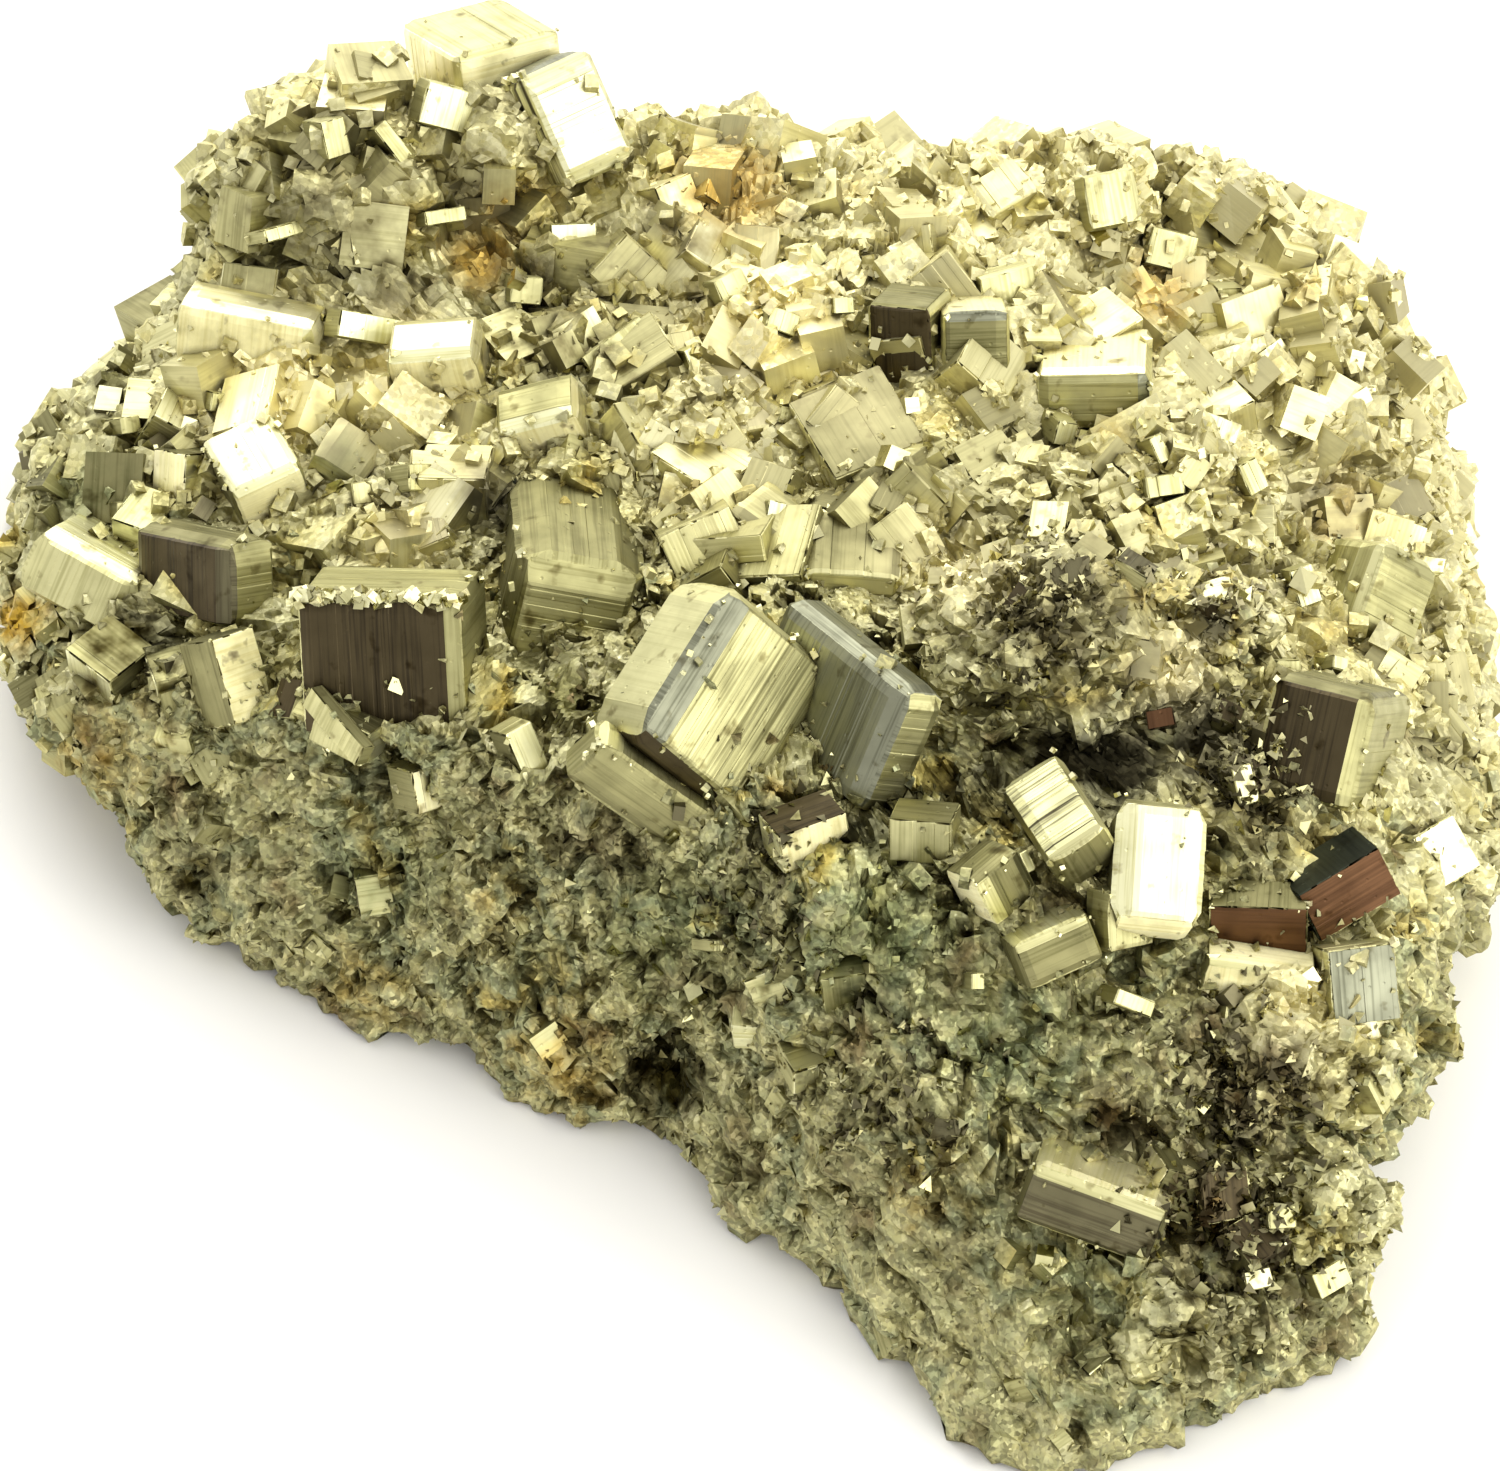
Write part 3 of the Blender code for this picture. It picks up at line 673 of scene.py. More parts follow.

# STRIATED CRYSTALS
# Cubes and blocks up to 7 mm, bright brass where fresh and brown, red or blue-grey where
# tarnished. Growth steps run across each face, square to those on the next face, and
# some edges are cut back by narrow pyritohedral faces.

# Across, up and rise, half sizes, turns about the view's axes in degrees and trim of
# the edges in mm. Then how the striations run, a or b, and the look of the faces
# that point to the viewer along the block's x, y and z, and of the trimmed edges.
# Each face's look is set to the brightness it showed, so dark looks are partly painted shade and
# bright ones partly painted light.
CRYSTALS = (
    ((-1.2, 1.2, 1.6), (3.25, 1.95, 2.98), (58, -13, -122), 0.45, "a", "dlqg"),
    ((-3.4, -2.0, 0.3), (3.20, 0.96, 1.10), (57, -21, 145), 0.30, "a", "mkpk"),
    ((3.2, 1.0, 0.6), (2.43, 1.11, 3.64), (46, -17, 67), 0.30, "a", "ggpg"),
    ((-12.3, 2.9, 0.4), (2.58, 1.91, 2.96), (76, -18, 93), 0.20, "a", "mdmm"),
    ((-6.4, 5.3, -1.6), (2.33, 3.48, 2.50), (64, -8, 170), 0.50, "a", "omkm"),
    ((-18.9, 5.6, 0.5), (1.61, 1.20, 2.67), (40, -11, 91), 0.30, "a", "odmb"),
    ((-22.6, 5.6, -0.2), (2.20, 1.30, 2.20), (20, -14, -29), 0.35, "a", "ofpm"),
    ((-17.1, 9.1, 0.1), (1.36, 1.74, 1.10), (52, -5, -155), 0.15, "a", "ovff"),
    ((-19.6, 9.0, 0.0), (0.98, 0.90, 0.82), (44, -9, 87), 0.0, "a", "owfo"),
    ((-18.1, 2.0, 0.1), (1.54, 0.90, 1.12), (32, -6, 106), 0.0, "a", "okvf"),
    ((-17.4, 14.1, 0.2), (2.54, 1.20, 1.10), (28, -11, -11), 0.20, "a", "vwvf"),
    ((-10.8, 12.9, 0.2), (1.65, 1.44, 1.10), (46, -12, 4), 0.20, "a", "wwvf"),
    ((5.6, 13.8, 0.0), (1.16, 1.69, 1.20), (23, -20, -6), 0.15, "a", "podd"),
    ((7.7, 13.9, -0.4), (1.36, 1.19, 2.40), (4, -12, 91), 0.15, "a", "wpog"),
    ((12.0, 12.4, -0.2), (2.00, 1.15, 2.40), (20, -2, 1), 0.20, "b", "pwmg"),
    ((20.1, -0.2, 0.0), (2.13, 2.90, 1.90), (76, -5, 77), 0.30, "a", "odmm"),
    ((10.7, -3.0, 0.9), (2.19, 1.21, 1.00), (0, -44, -57), 0.20, "a", "oosp"),
    ((13.9, -4.6, 0.6), (1.60, 2.30, 1.20), (-14, 8, -6), 0.35, "a", "ovwf"),
    ((20.2, -5.1, 0.3), (1.65, 1.26, 1.00), (64, -9, -149), 0.0, "a", "irio"),
    ((17.5, -6.2, 0.2), (1.70, 0.90, 0.90), (32, -2, -2), 0.0, "b", "oorp"),
    ((23.7, -4.2, 0.2), (0.95, 0.90, 1.04), (87, -27, -149), 0.0, "a", "pwpp"),
    ((10.2, -7.1, 0.0), (1.46, 1.68, 0.90), (73, -8, -156), 0.15, "a", "oofp"),
    ((11.9, -15.9, 0.3), (2.53, 1.34, 1.20), (62, 0, 160), 0.20, "a", "obwp"),
    ((20.6, -8.4, 0.3), (1.35, 1.22, 1.70), (17, -8, 95), 0.0, "b", "pfgg"),
    ((-7.1, 10.8, 0.0), (1.50, 1.30, 1.10), (46, -12, 14), 0.20, "a", "wmvf"),
    ((21.5, 4.7, -0.2), (1.90, 1.60, 1.50), (40, 10, 70), 0.30, "a", "ommp"),
    ((17.4, -8.4, 0.0), (2.00, 1.20, 1.30), (30, 5, -8), 0.20, "a", "ovvp"),
    ((20.3, -10.6, 0.0), (1.80, 1.50, 1.30), (20, 10, 15), 0.35, "a", "dwwp"),
    ((16.0, -15.7, 0.2), (0.90, 0.90, 0.90), (10, 22, 10), 0.0, "a", "dddd"),
    ((17.3, -17.6, 0.2), (0.90, 0.85, 0.90), (-20, 24, 30), 0.0, "a", "oddd"),
    ((14.4, -15.4, 0.0), (0.95, 1.00, 0.90), (35, -20, 60), 0.0, "a", "owop"),
    ((-13.8, 0.2, 0.3), (1.10, 0.70, 0.80), (30, -20, -28), 0.0, "a", "fopp"),
    ((-11.2, -1.6, 0.2), (1.00, 0.80, 0.80), (20, 30, 20), 0.0, "a", "kmwp"),
    ((-7.9, -0.6, 0.2), (0.55, 1.10, 0.70), (20, 20, 30), 0.0, "a", "opff"),
    ((1.9, -3.3, 0.4), (1.30, 0.80, 0.90), (35, 15, 20), 0.0, "a", "fdvw"),
    ((6.0, -3.3, 0.3), (1.10, 0.80, 0.90), (25, -10, -5), 0.0, "a", "popp"),
    ((8.3, -5.0, 0.4), (1.05, 1.05, 1.00), (35, 20, 40), 0.15, "a", "voop"),
)
# The first of them are the left piece, the others and those at the rim the right one.
LEFT = 12
# As above, with the height of the middle above the underside in place of the rise.
RIM_CRYSTALS = (
    ((-9.3, 23.5, 13.8), (2.05, 2.50, 1.50), (69, -21, -165), 0.20, "a", "wvpp"),
    ((-6.7, 21.5, 14.4), (1.50, 2.60, 2.19), (85, -15, -155), 0.30, "a", "sfgf"),
)

# Pyrite by how its faces look: letter, name, the colours of its lines from dark to
# pale, roughness and how strongly it is lined. A metal from bright to dark in lit and
# shaded copies: a look stands partly for real tarnish and fresh metal, and partly for
# painted light and painted shade.
LOOKS = (
    ("z", "glinting pyrite", "#aca87c", "#cbc796", 0.16, 0.2),
    ("w", "fresh pyrite", "#f3edb4", "#fff9cc", 0.42, 0.35),
    ("v", "frosted fresh pyrite", "#f5efc0", "#fffbd6", 0.85, 0.2),
    ("f", "bright pyrite", "#d9d59b", "#f1efc2", 0.42, 0.5),
    ("p", "pale pyrite", "#b6b27e", "#d3cf9b", 0.46, 0.6),
    ("q", "smooth pale pyrite", "#c8c595", "#d3d0a0", 0.46, 0.1),
    ("l", "finely lined pyrite", "#807c53", "#c1bd8a", 0.46, 1.0),
    ("m", "satin pyrite", "#969263", "#b1ad7c", 0.48, 0.5),
    ("k", "dim pyrite", "#807c55", "#9a966a", 0.48, 0.5),
    ("o", "olive tarnished pyrite", "#6d6a45", "#88845c", 0.50, 0.5),
    ("g", "blue-grey tarnished pyrite", "#6f705d", "#8f907a", 0.42, 0.5),
    ("b", "brown-grey tarnished pyrite", "#59533f", "#706b51", 0.46, 0.5),
    ("d", "brown tarnished pyrite", "#3b3427", "#504733", 0.46, 0.4),
    ("r", "red-brown tarnished pyrite", "#543c2a", "#664a34", 0.42, 0.2),
    ("i", "inky tarnished pyrite", "#252a23", "#353a30", 0.40, 0.2),
    ("s", "boldly striped pyrite", "#4c4735", "#dddaa6", 0.44, 1.3),
)
SLOT = {letter: slot for slot, (letter, *_) in enumerate(LOOKS)}

# Edges are worn: the width of the rounding, how much it takes off, how deep the edges and
# corners are nicked on average, and at most, in mm.
EDGE = 0.08
EDGE_ROUND = 0.02
EDGE_NICK = 0.035
CORNER_NICK = 0.12
MOST_NICK = 0.14

# Growth steps: the width of the flat treads and of the risers between them and how far
# the treads stand apart, in mm and as a share of the block, with more of the narrow and
# shallow ones. Each tread tilts a little and its depth fades in waves along it, which
# start anywhere in a full turn.
TREADS = (0.12, 0.75)
MORE_NARROW = 2.2
RISER = 0.035
STEP_DEPTH = 0.06
STEP_SHARE = 0.04
MORE_SHALLOW = 1.5
TREAD_SLOPE = 0.10
FADE = (0.8, 0.2, 1.3)
WAVE_SHIFT = 6.3

# The finer lines that the material adds: their width and depth in mm and how often they
# change in a millimetre of their length, and the same for broad bands of them. Then where
# their noises, added up, turn from dark to pale.
LINE = 0.11
LINE_DEPTH = 0.010
LINE_ALONG = 0.25
BAND = 0.44
BAND_ALONG = 0.06
DARK_TO_PALE = (0.75, 1.15)
# Clouds of film: their size in mm, from and to in their noise, the tones that this gives,
# and the same for shares of the roughness. Then pits: how far apart and how deep they are
# in mm, their bottom and rim as shares, and how strongly they show.
CLOUD = 1.3
CLOUD_TONE = (0.34, 0.62, 0.84, 1.0)
CLOUD_GLOSS = (0.3, 0.7, 1.25, 0.8)
PIT = 0.5
PIT_DEPTH = 0.02
PIT_EDGE = (0.04, 0.14)
PIT_STRENGTH = 0.7
# How far the pattern is shifted from block to block and from face to face, in mm.
SHIFT = 50
FACE_SHIFT = (7.3, 3.1)


def striated_pyrite(name, dark, pale, roughness, lined):
    """Metal with parallel growth lines, faint clouding and small pits."""
    made, shader = new_metal(name, roughness)
    place = node(made, "TexCoord").outputs["Object"]
    lines_at = node(made, "UVMap", uv_map="striae")
    noises = []
    for wide, along in ((LINE, LINE_ALONG), (BAND, BAND_ALONG)):
        stretched = node(made, "Mapping", {"Vector": lines_at, "Scale": (1 / wide, along, 1)})
        noises.append(node(made, "TexNoise", {"Vector": stretched, "Scale": 1, "Detail": 2}))
    lines, bands = noises
    cloud = node(made, "TexNoise", {"Vector": place, "Scale": 1 / (CLOUD * MM), "Detail": 4})
    total = node(made, "Math", {0: lines, 1: bands}, operation="ADD")
    spread = node(made, "MapRange", dict(enumerate((total, *DARK_TO_PALE))))
    shade = node(made, "ValToRGB", {"Fac": spread}, ((0.0, dark), (0.75, pale), (1.0, pale)))
    dim = node(made, "MapRange", dict(enumerate((cloud, *CLOUD_TONE))))
    clouded = node(made, "VectorMath", {0: shade, "Scale": dim}, operation="SCALE")
    low, high, rough, smooth = CLOUD_GLOSS
    gloss = node(
        made, "MapRange", {0: cloud, 1: low, 2: high, 3: roughness * rough, 4: roughness * smooth}
    )
    pits = node(made, "TexVoronoi", {"Vector": place, "Scale": 1 / (PIT * MM)})
    pit_depth = node(made, "MapRange", dict(enumerate((pits, *PIT_EDGE))))
    bumped = node(
        made, "Bump",
        {"Height": pit_depth, "Distance": PIT_DEPTH * MM, "Strength": PIT_STRENGTH},
    )
    grooves = node(
        made, "Bump",
        {"Height": lines, "Distance": LINE_DEPTH * MM, "Strength": lined, "Normal": bumped},
    )
    links = made.node_tree.links
    links.new(patched(made, clouded.outputs[0], CRYSTAL_GAP), shader.inputs["Base Color"])
    links.new(gloss.outputs[0], shader.inputs["Roughness"])
    links.new(grooves.outputs[0], shader.inputs["Normal"])
    return made


pyrites = [striated_pyrite(*look[1:]) for look in LOOKS]


def trims():
    """Outward directions of the twelve pyritohedral faces."""
    for i in range(3):
        for first in (2, -2):
            for second in (1, -1):
                way = Vector((0, 0, 0))
                way[i] = first
                way[(i + 1) % 3] = second
                yield way.normalized()


def cuts_of(size, wide, rng):
    """Edges of the treads and risers from one side to the other, unevenly spaced."""
    treads = []
    while sum(treads) < 2 * size:
        treads.append(wide * (TREADS[0] + (TREADS[1] - TREADS[0]) * rng.random() ** MORE_NARROW))
    inner = [w for tread in treads for w in (tread, RISER)][:-1]
    widths = np.array([EDGE] + inner + [EDGE])
    return np.concatenate([[0], np.cumsum(widths)]) / widths.sum() * 2 * size - size


def step_depths(cuts, depth, lined, rng):
    """Depth at each cut: a level for each tread, and a tilt across it."""
    width = np.diff(cuts)[1:-1:2]
    level = rng.random(len(width)) ** MORE_SHALLOW * depth
    tilt = rng.uniform(-1, 1, len(width)) * TREAD_SLOPE * width
    inner = np.stack([level - tilt / 2, level + tilt / 2], 1).ravel()
    return np.concatenate([inner[:1], inner, inner[-1:]]) * lined


def skin(cuts, axes, letters, rng):
    """A block's quads, as the cuts that meet at their corners, their slots and coords.

    axes gives the directions across and along the striae of each pair of faces.
    """
    last = [len(c) - 1 for c in cuts]
    parts = []
    shift = rng.uniform(-SHIFT, SHIFT, 2)
    for i, (across, along) in enumerate(axes):
        j, k = (i + 1) % 3, (i + 2) % 3
        a, b = np.meshgrid(np.arange(last[j]), np.arange(last[k]), indexing="ij")
        for side in (0, 1):
            corner = np.zeros((a.size, 4, 3), int)
            corner[:, :, i] = last[i] * side
            order = ((0, 0), (1, 0), (1, 1), (0, 1)) if side else ((0, 0), (0, 1), (1, 1), (1, 0))
            for c, (da, db) in enumerate(order):
                corner[:, c, j] = a.ravel() + da
                corner[:, c, k] = b.ravel() + db
            u = cuts[across][corner[:, :, across]] + FACE_SHIFT[0] * i
            v = cuts[along][corner[:, :, along]] + FACE_SHIFT[1] * side
            slots = np.full(a.size, SLOT[letters[2 * i + side]])
            parts.append((corner, slots, np.stack([u, v], axis=2) + shift))
    return (np.concatenate(part) for part in zip(*parts))


def striated_block(centre, spin, half, trim, run, letters, rng, wide=1):
    """A block with stepped faces: points, faces, slots and places along the striae.

    letters holds six letters for the faces at -x, +x, -y, +y, -z and +z, and one for
    the trimmed edge that most faces the viewer. The treads are wide times their usual
    width.
    """
    cuts = [cuts_of(half[i], wide, rng) for i in range(3)]
    count = np.array([len(c) for c in cuts])
    turn = 1 if run == "a" else 2
    axes = [((i + turn) % 3, (i - turn) % 3) for i in range(3)]
    quads, slots, coords = skin(cuts, axes, letters, rng)
    keys = np.ravel_multi_index(tuple(np.moveaxis(quads, 2, 0)), count)
    unique, faces = np.unique(keys, return_inverse=True)
    faces = faces.reshape(-1, 4)
    index = np.stack(np.unravel_index(unique, count), 1)
    points = np.stack([cuts[i][index[:, i]] for i in range(3)], 1)
    moved = points.copy()
    depth = min(STEP_DEPTH, STEP_SHARE * min(half))
    for i, (across, along) in enumerate(axes):
        for side in (0, 1):
            on = index[:, i] == (count[i] - 1) * side
            lined = LOOKS[SLOT[letters[2 * i + side]]][-1]
            step = step_depths(cuts[across], depth, lined, rng)[index[on, across]]
            bend = rng.uniform(0, WAVE_SHIFT)
            fade = FADE[0] + FADE[1] * np.sin(bend + points[on, along] * FADE[2])
            moved[on, i] -= (2 * side - 1) * step * fade
    outside = (index == 0) * -1 + (index == count - 1)
    sides = np.abs(outside).sum(1)
    nick = np.where(sides == 3, CORNER_NICK, EDGE_NICK) * rng.exponential(1, len(points))
    nick = np.where(sides > 1, np.minimum(nick + EDGE_ROUND, MOST_NICK), 0)
    moved -= outside * nick[:, None]
    if trim:
        viewer = np.array(spin.transposed() @ towards)
        ways = [np.array(way) for way in trims()]
        nearest = max(ways, key=lambda way: way @ viewer)
        for way in ways:
            reach = np.abs(way) @ half - trim
            past = moved @ way - reach
            moved -= np.clip(past, 0, None)[:, None] * way
            if way is nearest:
                slots[(points[faces].mean(1) @ way) > reach] = SLOT[letters[6]]
    return moved @ np.array(spin).T + np.array(centre), faces, slots, coords


def block_piece(name, blocks, filmed=False):
    """A piece of striated blocks, and its surface as triangles."""
    points, faces, slots, coords = joined(blocks)
    piece(name, points, faces, pyrites, slots=slots, coords=coords, filmed=filmed)
    return points, halved(faces)


def face_letters(looks, spin):
    """Letters for all six faces: looks is for those that point to the viewer."""
    letters = []
    for i in range(3):
        front = towards.dot(spin.col[i]) > 0
        letters += ["p", looks[i]] if front else [looks[i], "p"]
    return letters + [looks[3]]


def spin_of(turns):
    """A rotation from turns about the view's axes in degrees."""
    return sight_frame() @ Euler([math.radians(t) for t in turns]).to_matrix()


large_crystals = []
for (across, up, rise), half, turns, trim, run, looks in CRYSTALS:
    centre = meet(body_tree, across, up) + towards * rise
    large_crystals.append((centre, half, turns, trim, run, looks))
for (across, up, height), half, turns, trim, run, looks in RIM_CRYSTALS:
    centre = unseen(across, up, 0)
    centre += towards * ((height - centre.z) / towards.z)
    large_crystals.append((centre, half, turns, trim, run, looks))
blocks = []
for centre, half, turns, trim, run, looks in large_crystals:
    spin = spin_of(turns)
    blocks.append(striated_block(centre, spin, half, trim, run, face_letters(looks, spin), rng))
block_piece("left_crystals", blocks[:LEFT])
block_piece("right_crystals", blocks[LEFT:])
points, faces = joined([block[:2] for block in blocks])
large = (points, halved(faces))

# SMALL CRYSTALS
# Cubes of 1 to 3.6 mm that grew between the large ones, mostly pale and bright, on
# the top, the sides and the front. Same striated pyrite.

# How many and the range of half size in mm, by where they sit. They are chosen as in the
# solid: the first of TRIES random places that leave room.
SCATTER = (("top", 52, 0.9, 1.8), ("side", 40, 0.7, 1.3), ("front", 12, 0.5, 0.9))
SCATTER_SEED = 7
TRIES = 1500
# As shares of the half size: how uneven they are, how deep they are sunk, which is deeper
# than in the solid because the crust round them is built up here, and how much is cut off
# the edges of those that are trimmed, with the share of them that are.
UNEVEN = (0.8, 1.15)
SUNK = 0.5
TRIM_DEPTH = 0.15
TRIMMED = 0.15
# How low they can sit in mm, how level the top is and how much the front leans, and the
# room that they leave at the rim and beside large crystals on the side that shows.
LOWEST = 2.5
TOP_NORMAL = 0.72
FRONT_NORMAL = -0.4
RIM_ROOM = 1.1
CRYSTAL_ROOM = 0.9
FACING_VIEWER = 0.1
# How many times wider than on large crystals their treads are.
SMALL_WIDE = 1.8


def inside_rim(across, up):
    """Distance to the rim as seen."""
    point = Vector((across, up))
    gaps = []
    for start, end in zip(RIM, RIM[1:] + RIM[:1]):
        a = Vector(start)
        side = Vector(end) - a
        share = max(0, min(1, (point - a).dot(side) / side.length_squared))
        gaps.append((point - a - side * share).length)
    return min(gaps)


def zone(place, normal):
    """Where on the body a small crystal would sit."""
    if place.z < LOWEST:
        return None
    if normal.z > TOP_NORMAL:
        return "top"
    return "front" if normal.y < FRONT_NORMAL else "side"


def beside_large(place, size):
    """Whether a small crystal would crowd a large one, as seen."""
    for (across, up, _), half, *_ in CRYSTALS:
        gap = math.hypot(place.x - across, place.y - up)
        if gap < max(half) * CRYSTAL_ROOM + size:
            return True
    return False


def scattered(body, rng):
    """Middle, half sizes, trim and spin of each small crystal."""
    left = {name: [count, low, high] for name, count, low, high in SCATTER}
    areas = np.array([face.calc_area() for face in body.faces])
    body.faces.ensure_lookup_table()
    made = []
    for index in rng.choice(len(areas), TRIES, p=areas / areas.sum()):
        centre = body.faces[index].calc_center_median()
        normal = body.faces[index].normal
        where = zone(centre, normal)
        if where is None or not left[where][0]:
            continue
        size = rng.uniform(*left[where][1:])
        place = seen(centre)
        if inside_rim(place.x, place.y) < size * RIM_ROOM:
            continue
        shows = towards.dot(normal) > FACING_VIEWER
        if shows and beside_large(place, size):
            continue
        half = size * rng.uniform(*UNEVEN, 3)
        trim = size * TRIM_DEPTH if rng.random() < TRIMMED else 0
        spin = Euler(rng.uniform(0, math.tau, 3)).to_matrix()
        made.append((centre - normal * size * SUNK, half, trim, spin))
        left[where][0] -= 1
    return made


# The shares of faces that are bright, pale, satin, olive and brown-grey.
SMALL_LOOKS = (0.12, 0.33, 0.33, 0.17, 0.05)
blocks = []
for centre, half, trim, spin in scattered(body, np.random.default_rng(SCATTER_SEED)):
    letters = rng.choice(list("fpmob"), 7, p=SMALL_LOOKS)
    run = rng.choice(["a", "b"])
    blocks.append(striated_block(centre, spin, half, trim, run, letters, rng, SMALL_WIDE))
small = block_piece("small_crystals", blocks, filmed=True)

# MERGED CUBES
# Cubes of 0.3 to 2.8 mm, sunk deep in the crust so that a corner or one face shows.
# Neighbours often grew in step and lie parallel, so patches of them mirror the
# light together.


def spots_on(points, faces, count, rng):
    """Random places on a surface, by area, their normals and the ground's direction."""
    corners = points[faces]
    normal = np.cross(corners[:, 1] - corners[:, 0], corners[:, 2] - corners[:, 0])
    area = np.linalg.norm(normal, axis=1)
    picks = rng.choice(len(faces), count, p=area / area.sum())
    mix = rng.dirichlet((1, 1, 1), count)
    places = (corners[picks] * mix[:, :, None]).sum(1)
    ground = np.array([body_tree.find_nearest(place)[1] for place in places])
    return places, normal[picks] / area[picks, None], ground


ground_points, ground_faces = joined([(body_points, body_faces), (lump_points, lump_faces)])
CUBE = np.array([(x, y, z) for x in (-1, 1) for y in (-1, 1) for z in (-1, 1)], float)
CUBE_FACES = np.array(
    [(0, 1, 3, 2), (4, 6, 7, 5), (0, 4, 5, 1), (2, 3, 7, 6), (0, 2, 6, 4), (1, 5, 7, 3)]
)
CUBE_FLAT = np.array(
    [CUBE[corners][:, [a for a in range(3) if a != face // 2]]
     for face, corners in enumerate(CUBE_FACES)]
)
# How uneven little cubes are, how ragged their corners, as a share of their size, and
# how far parallel growth reaches in mm and how loose it is in degrees.
STRETCH = (0.7, 1.2)
CUBE_RAGGED = 0.05
PARALLEL = 3.0
LOOSE = 7.0


def random_turns(count, rng):
    """Random rotation matrices."""
    q = rng.normal(size=(count, 4))
    w, x, y, z = (q / np.linalg.norm(q, axis=1)[:, None]).T
    rows = (
        1 - 2 * (y * y + z * z), 2 * (x * y - z * w), 2 * (x * z + y * w),
        2 * (x * y + z * w), 1 - 2 * (x * x + z * z), 2 * (y * z - x * w),
        2 * (x * z - y * w), 2 * (y * z + x * w), 1 - 2 * (x * x + y * y),
    )
    return np.stack(rows, 1).reshape(-1, 3, 3)


def leaning(count, degrees, rng):
    """Small random turns."""
    angles = rng.normal(size=(count, 3)) * math.radians(degrees)
    return np.array([Euler(a).to_matrix() for a in angles])


def patch_turns(places, rng):
    """Turns shared by neighbours: one for each cell of space, give or take LOOSE."""
    cell = np.floor(places / PARALLEL + rng.uniform(0, 1, 3)).astype(int)
    _, which = np.unique(cell, axis=0, return_inverse=True)
    shared = random_turns(which.max() + 1, rng)[which.ravel()]
    return shared @ leaning(len(places), LOOSE, rng)


def lying_turns(normals, lean, rng):
    """Turns that lay one face along the ground, give or take a lean in degrees."""
    side = np.cross(normals, rng.normal(size=normals.shape))
    side /= np.linalg.norm(side, axis=1)[:, None]
    flat = np.stack([side, np.cross(normals, side), normals], 2)
    return flat @ leaning(len(normals), lean, rng)


# The room round a large crystal, as a share of its size and in mm, and the share of the
# cubes that crowd into it all the same. The knob as seen: across, up and radius.
ROOM = (1.25, 0.3)
CROWDED = 0.12
KNOB = (-13.6, 18.6, 5.4)


def off_knob(places):
    """Whether each place is clear of the knob, as seen."""
    view = in_view(places)
    return np.hypot(view[:, 0] - KNOB[0], view[:, 1] - KNOB[1]) > KNOB[2]


def room_round(places):
    """Whether each place is clear of the large crystals, as seen."""
    view = in_view(places)
    clear = np.ones(len(places), bool)
    for centre, half, *_ in large_crystals:
        across, up, _ = seen(centre)
        far = np.hypot(view[:, 0] - across, view[:, 1] - up)
        clear &= far > np.mean(half) * ROOM[0] + ROOM[1]
    return clear


def strewn(places, turns, corners, faces):
    """One little solid turned and put at each place, from its corners there."""
    turned = np.einsum("nij,nkj->nki", turns, corners)
    points = (places[:, None, :] + turned).reshape(-1, 3)
    shift = np.arange(len(places))[:, None, None] * corners.shape[1]
    return points, (faces[None] + shift).reshape(-1, faces.shape[1])


def block_mesh(places, halves, turns, ragged, rng):
    """Little blocks, one at each place, whose corners are off by a ragged share."""
    corners = CUBE[None] * halves[:, None, :]
    corners += rng.uniform(-1, 1, corners.shape) * (halves * ragged)[:, None, :]
    return strewn(places, turns, corners, CUBE_FACES)


def flat_coords(sizes):
    """Where the corners of little cubes lie on their faces."""
    return np.tile(CUBE_FLAT, (len(sizes), 1, 1)) * np.repeat(sizes, 6)[:, None, None]


def merged(name, places, normals, turns, sizes, sunk, looks, shares, rng):
    """A piece of cubes sunk into the crust by from and to a share of their half size.

    Each face has one of the looks, and a grainy one for the rest of the shares.
    """
    centres = places - normals * (sizes * rng.uniform(*sunk, len(places)))[:, None]
    halves = sizes[:, None] * rng.uniform(*STRETCH, (len(places), 3))
    points, faces = block_mesh(centres, halves, turns, CUBE_RAGGED, rng)
    choice = [SLOT[letter] for letter in looks] + [len(pyrites)]
    slots = rng.choice(choice, len(faces), p=shares + (1 - sum(shares),))
    shift = np.repeat(rng.uniform(-SHIFT, SHIFT, (len(places), 2)), 6, axis=0)
    coords = flat_coords(sizes) + shift[:, None, :]
    piece(name, points, faces, pyrites + [merged_pyrite], slots=slots, coords=coords)
    return points, halved(faces)


# How many are tried, how low and how far underneath the first can sit, how many of them
# the broken front lacks and how much smaller they are there. Their smallest half size,
# what is added to it and how much more often little, in mm, how deep they are sunk, and
# how many faces have each look.
MERGED_TRIED = 6500
MERGED_LOW = 0.8
MERGED_UNDER = -0.5
FRONT_LACKS = 0.8
FRONT_SMALLER = 0.45
MERGED_SIZES = (0.22, 0.95, 2.6)
MERGED_SUNK = (0.75, 1.35)
MERGED_LOOKS = (0.05, 0.22, 0.26, 0.13, 0.03)


def skewed(count, least, more, power, rng):
    """Random sizes from the least up, most of them little."""
    return least + more * rng.random(count) ** power


places, _, normals = spots_on(ground_points, ground_faces, MERGED_TRIED, rng)
front = frontness(normals)
keep = (places[:, 2] > MERGED_LOW) & (normals[:, 2] > MERGED_UNDER)
keep &= rng.random(len(places)) > front * FRONT_LACKS
keep &= off_knob(places) & (room_round(places) | (rng.random(len(places)) < CROWDED))
places, normals, front = places[keep], normals[keep], front[keep]
sizes = skewed(len(places), *MERGED_SIZES, rng) * (1 - FRONT_SMALLER * front)
turns = patch_turns(places, rng)
cubes = merged(
    "merged_cubes", places, normals, turns, sizes, MERGED_SUNK, "fpmob", MERGED_LOOKS, rng
)

# KNOB CUBES
# Cubes of 0.8 to 2.8 mm that make up the knob at the back left. They grew into each other
# until only flat faces show, so the knob is round with a few facets that catch light.

